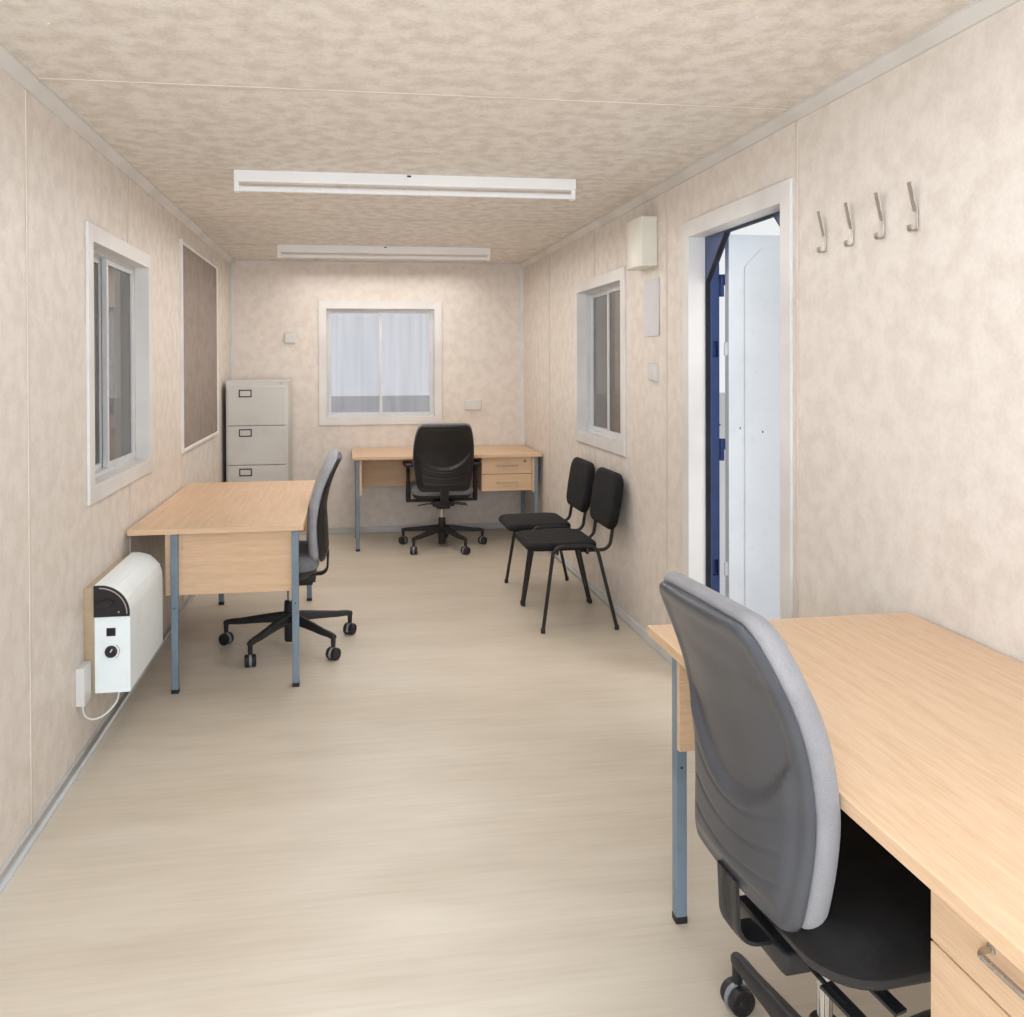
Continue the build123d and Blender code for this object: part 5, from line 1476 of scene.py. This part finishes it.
@dataclass
class NoticeBoard:
    """The felt board in its white frame on the left wall."""

    span: tuple[float, float] = (1.922, 3.314)
    rise: tuple[float, float] = (0.93, 2.178)
    frame: float = 0.024
    depth: float = 0.018
    felt: float = 0.010

    def build(self) -> None:
        """Mitre the frame and lay the felt."""
        wall = -HALF_WIDTH
        low, high = (FLOOR + height for height in self.rise)
        near, far = self.span
        frame = Maker("notice_board_frame", TRIM, nodes=["notice_board"])
        a, b = self.depth, self.frame
        section = ((0, 0), (a * 0.8, 0), (a, a * 0.2), (a, b * 0.7), (a * 0.55, b), (0, b))
        rings = []
        for y, z, sy, sz in ((near, low, 1, 1), (far, low, -1, 1), (far, high, -1, -1), (near, high, 1, -1)):
            rings.append([(wall + d, y + sy * w, z + sz * w) for d, w in section])
        frame.loft(rings + rings[:1], capped=False)
        bmesh.ops.remove_doubles(frame.shape, verts=frame.shape.verts, dist=Joinery.MERGE)
        frame.settle()
        felt = Maker("notice_board_felt", FELT, nodes=["notice_board"])
        inset = self.frame * 0.6
        felt.brick((wall, near + inset, low + inset), (wall + self.felt, far - inset, high - inset), 0.001)
        felt.settle()


@dataclass
class Heater:
    """The convector heater: ribbed steel top, black end caps, controls and its mounting box."""

    span: tuple[float, float] = (0.048, 0.614)
    rise: tuple[float, float] = (0.243, 0.640)
    depth: tuple[float, float] = (-1.212, -1.087)
    nose: float = 0.105
    cap: float = 0.010
    cap_foot: float = 0.525

    def hood(self, inset: float = 0.0, ribs: bool = False) -> list[tuple[float, float]]:
        """Return the heater's side section, as distances from its back and heights.

        Args:
            inset: How far it shrinks.
            ribs: Whether two raised ribs run along the top.

        Returns:
            The section's points, round from the foot of the back.
        """
        deep = self.depth[1] - self.depth[0] - inset
        low, high = self.rise[0] + inset, self.rise[1] - inset
        radius = self.nose
        points = [(inset, low), (deep - 0.004, low), (deep, low + 0.004), (deep, high - radius)]
        for step in range(1, 31):
            turn = math.pi / 2 * step / 30
            swell = 0.0018 if ribs and step in (9, 10, 19, 20) else 0.0
            points.append((deep - radius + (radius + swell) * math.cos(turn),
                           high - radius + (radius + swell) * math.sin(turn)))
        points.append((inset, high))
        return points

    def lay(self, section: Sequence[tuple[float, float]], y: float) -> list[Point]:
        """Stand a section of the heater across the room at a distance along it."""
        return [(self.depth[0] + a, y, FLOOR + z) for a, z in section]

    def build(self) -> None:
        """Make the casing, the caps and the controls."""
        near, far = self.span
        case = Maker("heater_casing", HEATER_WHITE, nodes=["heater"])
        flush, inner = self.hood(0.0, True), self.hood(0.0012)
        edges = ((near + 0.0005, inner), (near + 0.002, flush), (far - 0.002, flush), (far - 0.0005, inner))
        case.loft([self.lay(section, y) for y, section in edges])
        case.settle()
        caps = Maker("heater_caps_finished", BLACK, nodes=["heater_caps"])
        marks = Maker("heater_marks", CAP_LINE, nodes=["heater_caps"])
        screws = Maker("heater_screws", STEEL, nodes=["heater_caps"])
        for end, side in ((near, -1), (far, 1)):
            face = end + side * self.cap
            outline = [(a, max(z, self.cap_foot)) for a, z in self.hood()]
            lip = [(a, max(z, self.cap_foot + 0.002)) for a, z in self.hood(0.002)]
            caps.loft([self.lay(outline, end), self.lay(outline, end + side * self.cap * 0.75), self.lay(lip, face)])
            marks.loft([self.lay(self.arc(reach), face + side * out)
                        for reach, out in ((0.0085, -0.001), (0.0085, 0.0006), (0.0065, 0.0006), (0.0065, -0.001))])
            caps.at = (Matrix.Translation((self.depth[0] + 0.042, face, FLOOR + 0.572))
                       @ Matrix.Rotation(math.pi / 2, 4, "X") @ Matrix.Rotation(0.22, 4, "Z"))
            rim, flat = -side * 0.003, -side * 0.0005
            caps.loft([[(0.03 * grow * math.cos(t), 0.016 * grow * math.sin(t),
                         out) for t in [math.tau * i / 28 for i in range(28)]]
                       for grow, out in ((1.06, 0.001 * side), (1.0, rim), (0.88, rim), (0.78, flat))])
            caps.at = Matrix()
            screws.turned(((0.0, -0.001), (0.0032, -0.001), (0.0032, 0.0012), (0.0022, 0.0018), (0.0001, 0.002)),
                          (self.depth[0] + 0.088, face, FLOOR + 0.542), (0, side, 0), 14)
        for maker in (caps, marks, screws):
            maker.settle()
        self.controls(near)
        # The box's tan, darker than the wall, is painted shade behind the heater
        box = Maker("heater_box", BRACKET_AND_SHADE, nodes=["heater_bracket"])
        box.brick((-HALF_WIDTH, near + 0.004, FLOOR + 0.25), (self.depth[0], far - 0.004, FLOOR + 0.628), 0.002)
        box.settle()

    def arc(self, reach: float) -> list[tuple[float, float]]:
        """Draw the line that runs round the cap inside its rim.

        Args:
            reach: Its distance from the rim.

        Returns:
            Its section's points.
        """
        deep = self.depth[1] - self.depth[0]
        radius = self.nose - reach
        centre = (deep - self.nose, self.rise[1] - self.nose)
        turns = [math.pi / 2 * step / 20 for step in range(21)]
        outer = [(centre[0] + radius * math.cos(t), centre[1] + radius * math.sin(t)) for t in turns]
        inner = [(centre[0] + (radius - 0.0016) * math.cos(t),
                  centre[1] + (radius - 0.0016) * math.sin(t)) for t in reversed(turns)]
        return outer + inner

    def controls(self, near: float) -> None:
        """Set the rocker and the knob into the near end.

        Args:
            near: Where the near end stands along the room.
        """
        dials = Maker("heater_controls", BLACK, nodes=["heater"])
        pointer = Maker("heater_pointer", PLATE, nodes=["heater"])
        scale = Maker("heater_scale", RED, nodes=["heater"])
        x = self.depth[0] + 0.058
        knob = FLOOR + 0.395
        dials.brick((x - 0.016, near - 0.0015, FLOOR + 0.452), (x + 0.016, near + 0.002, FLOOR + 0.482), 0.001)
        dials.brick((x - 0.012, near - 0.005, FLOOR + 0.456), (x + 0.012, near, FLOOR + 0.478), 0.002)
        dials.turned(((0.0001, 0.0), (0.022, 0.0), (0.022, 0.003), (0.0195, 0.0045), (0.019, 0.013), (0.016, 0.0155),
                      (0.0001, 0.0155)), (x, near, knob), (0, -1, 0), 28)
        pointer.at = Matrix.Translation((x, near - 0.0155, knob)) @ Matrix.Rotation(math.radians(28), 4, "Y")
        pointer.brick((-0.0022, -0.0010, 0.0015), (0.0022, 0.0006, 0.0155), 0.0004)
        turns = [math.radians(-58 + 6 * step) for step in range(20)]
        scale.loft([[(x + r * math.cos(t), near + y, knob + r * math.sin(t)) for r,
                     y in ((0.0285, 0.001), (0.0285, -0.0005), (0.0302, -0.0005), (0.0302, 0.001))] for t in turns])
        for maker in (dials, pointer, scale):
            maker.settle()


@dataclass
class DrawerFittings:
    """The bow pulls, the locks and the key plates of the desks' drawer units."""

    centre: float = 1.2135
    length: float = 0.160
    reach: float = 0.024
    desk_top: float = 0.025
    unit: float = 0.270

    def desks(self) -> tuple:
        """Return each desk's frame, the height of its top and its front inset."""
        return ((stood(-0.486, 0.63, 90), 0.732, 0.024), (stood(-0.254, 3.383, 0), 0.732, 0.024),
                (stood(0.486, -1.1, -90), 0.76, 0.056))

    def build(self) -> None:
        """Fix the fittings to the two drawer fronts of the desks that have drawers."""
        pulls = Maker("drawer_pulls_finished", STEEL, nodes=["drawer_pulls"])
        locks = Maker("drawer_locks", BLACK, nodes=["drawer_pulls"])
        low, high = self.centre - self.length / 2, self.centre + self.length / 2
        for place, height, inset in self.desks()[1:]:
            pulls.at = locks.at = place
            face = inset + 0.030 - 0.018
            foot = height - self.desk_top - self.unit
            for row in range(2):
                z = foot + (row + 0.5) * self.unit / 2
                path = rounded([(low, face, z), (low + 0.004, face - self.reach, z),
                                (high - 0.004, face - self.reach, z), (high, face, z)], 0.014, 6)
                pulls.tube(path, 0.0045, 12)
                for end in (low, high):
                    pulls.turned(((0.0075, 0.0), (0.0075, 0.0018), (0.005, 0.003)), (end, face, z), (0, -1, 0), 16)
            z = height - self.desk_top - 0.035
            locks.turned(((0.0001, 0.0), (0.0105, 0.0), (0.0105, 0.0024), (0.009, 0.0034), (0.0001, 0.0034)),
                         (self.centre + 0.145, face, z), (0, -1, 0), 20)
            pulls.turned(((0.0001, 0.003), (0.006, 0.003), (0.006, 0.0042), (0.0001, 0.0042)),
                         (self.centre + 0.145, face, z), (0, -1, 0), 18)
        for maker in (pulls, locks):
            maker.settle()


@dataclass
class LooseFittings:
    """Small things: the bare notice sheet, desk screws, foot caps, lamp pins, catches and labels."""

    def sheet(self) -> None:
        """Pin the bare sheet to the right wall."""
        paper = Maker("notice_sheet", PAPER)
        rings = []
        for step in range(13):
            share = step / 12
            lift = 0.0012 + 0.004 * (1 - share) ** 3 + 0.0015 * share ** 4
            rings.append([(HALF_WIDTH - lift - 0.0004 * k, y, FLOOR + 1.585 + 0.29 * share) for k,
                          y in ((0, 0.83), (0, 1.046), (1, 1.046), (1, 0.83))])
        paper.loft(rings)
        paper.settle()

    def desks(self) -> None:
        """Add the screws through the end panels, black discs on the legs where their holes show, and the foot caps of
        the legs.
        """
        screws = Maker("desk_screws", STEEL)
        caps = Maker("desk_leg_caps", BLACK)
        fittings = DrawerFittings()
        for place, height, inset in fittings.desks():
            screws.at = caps.at = place
            under = height - fittings.desk_top
            for x, side in ((0.056, -1), (1.434, 1)):
                for y in (inset + 0.052, 0.53):
                    for drop in (0.07, 0.21):
                        screws.turned(((0.0001, -0.0005), (0.0055, -0.0005), (0.0055, 0.0006), (0.0035, 0.0012),
                                       (0.0001, 0.0009)),
                                      (x, y, under - drop), (side, 0, 0), 14)
            for x in (0.041, 1.449):
                for y in (inset + 0.015, 0.561):
                    caps.slab((0.0158, 0.0158), 0.003, ((0.001, 0.0), (0.0, 0.001), (0.0, 0.017), (0.0008, 0.018)),
                              (x, y), 3)
                    # Black discs on two sides of each leg where its hole shows: painted shade of the hole
                    for side in (-1, 1):
                        caps.turned(((0.0001, -0.001), (0.0035, -0.001), (0.0035, 0.0005), (0.0001, 0.0005)),
                                    (x + side * 0.015, y, under - 0.33), (side, 0, 0), 12)
        screws.settle()
        caps.settle()

    def lights(self) -> None:
        """Add the tube's end holders and the small mark on each light."""
        ends = Maker("light_ends", BLACK)
        for y in (-1.707, 0.733, 3.173):
            for side in (-1, 1):
                ends.turned(((0.0001, 0), (0.0125, 0), (0.0125, 0.003), (0.0001, 0.003)),
                            (side * 0.7805, y, CEILING - 0.077), (side, 0, 0), 18)
            ends.brick((-0.012, y - 0.0315, CEILING - 0.012), (0.006, y - 0.029, CEILING - 0.004), 0.0005)
        ends.settle()

    def cabinet(self) -> None:
        """Add the label holders, their cards and the lock of the filing cabinet."""
        holders = Maker("cabinet_label_holders", BLACK)
        cards = Maker("cabinet_cards", CABINET)
        lock = Maker("cabinet_lock", STEEL)
        front, height, plinth, drawers = 3.558, 1.321, 0.06, 4
        pitch = (height - plinth - 0.04) / drawers
        x = -1.217 + 0.10
        for row in range(drawers):
            z = FLOOR + plinth + row * pitch + pitch - 0.088
            for low, high in (((0, 0), (0.096, 0.008)), ((0, 0.05), (0.096, 0.058)), ((0, 0), (0.008, 0.058)),
                              ((0.088, 0), (0.096, 0.058))):
                holders.brick((x + low[0], front - 0.004, z + low[1]), (x + high[0], front + 0.001, z + high[1]),
                              0.0008, 1)
            cards.brick((x + 0.004, front - 0.0015, z + 0.004), (x + 0.092, front + 0.001, z + 0.054), 0.0004, 1)
        lock.turned(((0.0001, 0), (0.009, 0), (0.009, 0.006), (0.0075, 0.0075), (0.0001, 0.0075)),
                    (-0.80, front + 0.02, FLOOR + height - 0.02), (0, -1, 0), 20)
        for maker in (holders, cards, lock):
            maker.settle()

    def hooks(self) -> None:
        """Bend the coat hooks: the foot against the wall, the top leaning out and the tip turned up."""
        hooks = Maker("coat_hooks_finished", STEEL, nodes=["coat_hooks"])
        path = rounded([(0.0235, 0, 0.1365), (0.0045, 0, 0.056), (0.0035, 0, 0.002), (0.0225, 0, 0.0015),
                        (0.024, 0, 0.02)], 0.0105, 8)
        for y in (-0.661, -0.814, -0.967, -1.115):
            hooks.at = Matrix.Translation((HALF_WIDTH, y, FLOOR + 1.803)) @ Matrix.Diagonal((-1, 1, 1, 1))
            hooks.strap(path, ((-0.0085, -0.0012), (0.0085, -0.0012), (0.0098, 0.0), (0.0085, 0.0016), (0.0, 0.0024),
                               (-0.0085, 0.0016), (-0.0098, 0.0)), (1, 0, 0))
            hooks.turned(((0.0001, 0.004), (0.0045, 0.0042), (0.0042, 0.0062), (0.0001, 0.0068)), (0, 0, 0.045),
                         (1, 0, 0), 12)
        hooks.settle()

    def leaf(self) -> None:
        """Paint the door leaf's inner face and edges white, and leave its outer face blue."""
        mesh = Joinery().soften("door_leaf_soft", Joinery().copy("door_leaf"), 0.002)
        mesh.materials.clear()
        mesh.materials.append(DOOR_BLUE.material())
        mesh.materials.append(DOOR_WHITE.material())
        for face in mesh.polygons:
            face.material_index = 0 if face.normal.y > 0.3 else 1
        settle("door_leaf_finished", mesh, DOOR_BLUE, DOOR, ["door_leaf"])

    def build(self) -> None:
        """Build all of them."""
        self.hooks()
        self.leaf()
        self.sheet()
        self.desks()
        self.lights()
        self.cabinet()


@dataclass(frozen=True)
class RivetField:
    """A field of small fixings: its middle, its turn, its sides, its counts and its heads."""

    name: str
    centre: Point
    turn: Point
    size: tuple[float, float]
    count: tuple[int, int]
    head: float
    jitter: float
    finish: Finish


@dataclass
class Rivets:
    """Fixings set out by Geometry Nodes: in the ceiling and along the cladding."""

    fields: tuple[RivetField, ...] = (
        RivetField("ceiling_fixings", (0, 0, CEILING), (0, 0, 0), (2.1, 7.93), (8, 27), 0.0032, 0.018, CEILING_PIN),
        RivetField("right_cladding_rivets", (1.3705, 0, 1.34), (0, math.pi / 2, 0), (2.24, 8.44), (3, 43), 0.005, 0.0,
                   CLADDING),
        RivetField("left_cladding_rivets", (-1.3705, 0, 1.34), (0, math.pi / 2, 0), (2.24, 8.44), (3, 43), 0.005, 0.0,
                   CLADDING))

    def tree(self) -> bpy.types.NodeTree:
        """Make the node tree that sets heads on the points of a grid, at its first use.

        Returns:
            The tree.
        """
        found = bpy.data.node_groups.get("rivet field")
        if found:
            return found
        tree = bpy.data.node_groups.new("rivet field", "GeometryNodeTree")
        tree.interface.new_socket("Geometry", in_out="OUTPUT", socket_type="NodeSocketGeometry")
        for name, kind in (("Across", "Float"), ("Along", "Float"), ("Across count", "Int"), ("Along count", "Int"),
                           ("Head", "Float"), ("Jitter", "Float"), ("Seed", "Int"), ("Material", "Material")):
            tree.interface.new_socket(name, in_out="INPUT", socket_type=f"NodeSocket{kind}")
        graph = Graph(tree)
        given = graph.add("NodeGroupInput").outputs
        grid = graph.add("GeometryNodeMeshGrid", {"Size X": given["Across"], "Size Y": given["Along"],
                                                  "Vertices X": given["Across count"],
                                                  "Vertices Y": given["Along count"]})
        back = graph.math("MULTIPLY", given["Jitter"], -1.0)
        low = graph.add("ShaderNodeCombineXYZ", {"X": back, "Y": back}).outputs[0]
        high = graph.add("ShaderNodeCombineXYZ", {"X": given["Jitter"], "Y": given["Jitter"]}).outputs[0]
        wander = graph.add("FunctionNodeRandomValue", {0: low, 1: high, "Seed": given["Seed"]},
                           data_type="FLOAT_VECTOR")
        moved = graph.add("GeometryNodeSetPosition", {"Geometry": grid.outputs["Mesh"], "Offset": wander.outputs[0]})
        ball = graph.add("GeometryNodeMeshUVSphere", {"Segments": 10, "Rings": 6, "Radius": given["Head"]})
        dome = graph.add("GeometryNodeTransform", {"Geometry": ball.outputs["Mesh"], "Scale": (1, 1, 0.45)})
        placed = graph.add("GeometryNodeInstanceOnPoints", {"Points": moved.outputs[0], "Instance": dome.outputs[0]})
        real = graph.add("GeometryNodeRealizeInstances", {0: placed.outputs[0]})
        even = graph.add("GeometryNodeSetShadeSmooth", {0: real.outputs[0]})
        dressed = graph.add("GeometryNodeSetMaterial", {"Geometry": even.outputs[0], "Material": given["Material"]})
        graph.add("NodeGroupOutput", {0: dressed.outputs[0]})
        return tree

    def build(self) -> None:
        """Set out every field."""
        tree = self.tree()
        keys = [item.identifier for item in tree.interface.items_tree if item.in_out == "INPUT"]
        for seed, field_of in enumerate(self.fields, 3):
            holder = bpy.data.objects.new(field_of.name, bpy.data.meshes.new("points"))
            bpy.context.scene.collection.objects.link(holder)
            setter = holder.modifiers.new("rivets", "NODES")
            setter.node_group = tree
            values = (*field_of.size, *field_of.count, field_of.head, field_of.jitter, seed, field_of.finish.material())
            for key, value in zip(keys, values):
                setter[key] = value
            mesh = baked(holder, field_of.name)
            mesh.transform(Matrix.Translation(field_of.centre) @ Euler(field_of.turn).to_matrix().to_4x4())
            settle(field_of.name, mesh, field_of.finish)


@dataclass
class Studio:
    """The camera, the lamps, the world and the floor around the cabin."""

    focal_px: float = 857.965
    frame_px: tuple[int, int] = (1024, 1017)
    principal_px: tuple[float, float] = (472.994, 370.029)
    place: Point = (-0.292657, -3.258438, 1.622619)
    yaw: float = math.radians(8.382)
    pitch: float = math.radians(-0.466)
    roll: float = math.radians(-0.218)
    sensor: float = 36.0
    reach: float = 40.0

    def camera(self) -> None:
        """Stand the camera where the photograph was taken."""
        data = bpy.data.cameras.new("viewpoint")
        data.sensor_width = self.sensor
        data.lens = self.sensor * self.focal_px / self.frame_px[0]
        data.shift_x = (self.frame_px[0] / 2 - self.principal_px[0]) / self.frame_px[0]
        data.shift_y = (self.principal_px[1] - self.frame_px[1] / 2) / self.frame_px[0]
        data.clip_start = 0.02
        data.clip_end = 200
        ahead = Vector((math.sin(self.yaw) * math.cos(self.pitch), math.cos(self.yaw) * math.cos(self.pitch),
                        math.sin(self.pitch)))
        level = Vector((math.cos(self.yaw), -math.sin(self.yaw), 0))
        upright = level.cross(ahead)
        right = level * math.cos(self.roll) + upright * math.sin(self.roll)
        up = upright * math.cos(self.roll) - level * math.sin(self.roll)
        turn = Matrix((right, up, -ahead)).transposed().to_4x4()
        eye = bpy.data.objects.new("viewpoint", data)
        bpy.context.scene.collection.objects.link(eye)
        eye.matrix_world = Matrix.Translation(self.place) @ turn
        bpy.context.scene.camera = eye

    def lamp(self, name: str, size: tuple[float, float], watts: float, place: Point, aim: Point,
             colour: Colour = (255, 255, 255), shines: bool = False) -> None:
        """Hang an area lamp that doesn't show to the camera, and shows in reflections only when it shines.

        Args:
            name: The lamp's name.
            size: Its width and length.
            watts: Its power.
            place: Where it hangs.
            aim: The point that it faces.
            colour: Its colour.
            shines: Whether it shows as a highlight on glossy things.
        """
        data = bpy.data.lights.new(name, "AREA")
        data.shape = "RECTANGLE"
        data.size, data.size_y = size
        data.energy = watts
        data.color = linear(colour)[:3]
        data.cycles.use_multiple_importance_sampling = False
        lamp = bpy.data.objects.new(name, data)
        bpy.context.scene.collection.objects.link(lamp)
        lamp.matrix_world = (Matrix.Translation(place)
                             @ (Vector(aim) - Vector(place)).to_track_quat("-Z", "Y").to_matrix().to_4x4())
        lamp.visible_camera = False
        lamp.visible_glossy = shines
        lamp.visible_transmission = False

    def lamps(self) -> None:
        """Light the room from above and from behind the camera, the ceiling from below, and the outside from one side.
        """
        cool = (228, 241, 255)
        warm = (249, 245, 242)
        high = CEILING - 0.1
        self.lamp("room_far", (1.5, 3.4), 37, (0, 2.3, high), (0, 2.3, 0), warm, True)
        self.lamp("room_near", (1.5, 3.4), 15, (0, -1.5, high), (0, -1.5, 0), cool, True)
        self.lamp("room_fill", (2.0, 1.6), 106, (-0.3, -3.95, 1.6), (0.1, 2.6, 1.35), cool)
        self.lamp("room_up", (1.2, 6.4), 13.5, (0, 0.6, 1.1), (0, 0.6, CEILING), warm)
        self.lamp("outside_key", (7.0, 7.0), 900, (9.0, -7.0, 9.0), (0, 0, 1.2))

    def world(self) -> None:
        """Give the world an even light, and a pale ground for what is seen past the cabin."""
        world = bpy.data.worlds.new("studio")
        bpy.context.scene.world = world
        world.use_nodes = True
        world.node_tree.nodes.clear()
        graph = Graph(world.node_tree)
        rays = graph.add("ShaderNodeLightPath").outputs
        seen = graph.math("MAXIMUM", rays["Is Camera Ray"],
                          graph.math("MAXIMUM", rays["Is Glossy Ray"], rays["Is Transmission Ray"]))
        light = graph.add("ShaderNodeBackground", {"Color": (1, 1, 1, 1), "Strength": 0.55})
        ground = graph.add("ShaderNodeBackground", {"Color": (0.86, 0.87, 0.89, 1), "Strength": 1.0})
        both = graph.add("ShaderNodeMixShader", {0: seen, 1: light.outputs[0], 2: ground.outputs[0]})
        graph.add("ShaderNodeOutputWorld", {"Surface": both.outputs[0]})

    def floor(self) -> None:
        """Lay the studio floor under the cabin."""
        mesh = bpy.data.meshes.new("studio_floor")
        corners = [(x * self.reach, y * self.reach, 0) for x, y in ((-1, -1), (1, -1), (1, 1), (-1, 1))]
        mesh.from_pydata(corners, [], [(0, 1, 2, 3)])
        ground = bpy.data.objects.new("studio_floor", mesh)
        bpy.context.scene.collection.objects.link(ground)
        made = bpy.data.materials.new("studio_floor")
        made.use_nodes = True
        shader = made.node_tree.nodes["Principled BSDF"]
        shader.inputs["Base Color"].default_value = (0.8, 0.8, 0.81, 1)
        shader.inputs["Roughness"].default_value = 0.9
        mesh.materials.append(made)
        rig.stage(ground)

    def build(self) -> None:
        """Set up the whole studio."""
        self.camera()
        self.lamps()
        self.world()
        self.floor()


@dataclass
class HeaterFlex:
    """The white flex that hangs in a U between the spur box and the heater."""

    route: tuple[Point, ...] = (
        (-1.235, -0.02, 0.406), (-1.235, -0.02, 0.376), (-1.225, -0.01, 0.35), (-1.205, 0.012, 0.333),
        (-1.178, 0.038, 0.336), (-1.153, 0.059, 0.357), (-1.134, 0.072, 0.385), (-1.134, 0.072, 0.415))
    diameter: float = 0.007
    length: float = 0.232

    def build(self) -> None:
        """Lay the flex along its route."""
        data = bpy.data.curves.new("heater_flex_cord", "CURVE")
        data.dimensions = "3D"
        data.bevel_depth = self.diameter / 2
        data.bevel_resolution = 4
        data.resolution_u = 12
        spline = data.splines.new("NURBS")
        spline.points.add(len(self.route) - 1)
        for point, place in zip(spline.points, self.route):
            point.co = (*place, 1.0)
        spline.order_u = 3
        spline.use_endpoint_u = True
        data.materials.append(FLEX.material())
        flex = bpy.data.objects.new("heater_flex_cord", data)
        bpy.context.scene.collection.objects.link(flex)
        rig.ride(flex, CABIN)
        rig.slot(flex, FLEX.slot)
        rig.replaces(flex, "heater_flex")
        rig.cord(flex, exit=self.route[0], length=self.length, diameter=self.diameter, far_end="object",
                stiffness="medium", lay="hanging")
        LOG.info("%s: %d points", flex.name, len(self.route))


def dress_plain_nodes() -> None:
    """Give every node that keeps its own shape its finish."""
    for node, finish in PLAIN_NODES.items():
        for slot in bpy.data.objects[node].material_slots:
            slot.material = finish.material()
    LOG.info("%d nodes dressed as they are", len(PLAIN_NODES))


@dataclass
class Desks:
    """The desks' boards, with the grain along each board."""

    edge: float = 0.0015

    def map_grain(self, shape: bmesh.types.BMesh) -> None:
        """Lay each face's map so that its first axis runs with its board's grain, along its longest side.

        Args:
            shape: The boards.
        """
        layer = shape.loops.layers.uv.new("grain")
        for count, island in enumerate(Joinery().islands(shape), 1):
            corners = [corner.co for face in island for corner in face.verts]
            low = Vector([min(co[i] for co in corners) for i in range(3)])
            high = Vector([max(co[i] for co in corners) for i in range(3)])
            size = high - low
            along = max(range(3), key=lambda axis: size[axis])
            for face in island:
                normal = max(range(3), key=lambda axis: abs(face.normal[axis]))
                plane = [axis for axis in range(3) if axis != normal]
                first = along if along in plane else plane[0]
                second = plane[0] if plane[1] == first else plane[1]
                for loop in face.loops:
                    co = loop.vert.co
                    loop[layer].uv = (co[first] + count * 3.7, co[second] + normal * 1.3 + count * 0.61)

    def build(self) -> None:
        """Make the tops, the panels and the drawer units."""
        joinery = Joinery()
        for node in ("desk_tops", "desk_panels", "drawer_units"):
            shape = joinery.copy(node)
            self.map_grain(shape)
            mesh = joinery.soften(f"{node}_soft", shape, self.edge)
            settle(f"{node}_finished", mesh, BEECH, CABIN, [node])


def main() -> None:
    """Load the frame and build every class in order."""
    logging.basicConfig(level=logging.INFO, format="%(name)s %(message)s")
    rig.load()
    cad_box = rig.bounds()
    bpy.context.scene.view_settings.view_transform = "Standard"
    Studio().build()
    HeaterFlex().build()
    dress_plain_nodes()
    Joinery().dress()
    Desks().build()
    SwivelChairs().build()
    VisitorChairs().build()
    Glazier().build()
    NoticeBoard().build()
    Heater().build()
    DrawerFittings().build()
    LooseFittings().build()
    Rivets().build()
    sizes = {"cad": [list(corner) for corner in cad_box], "visual": [list(corner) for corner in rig.bounds()]}
    with open("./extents.json", "w") as out:
        json.dump(sizes, out)


if __name__ == "__main__":
    main()
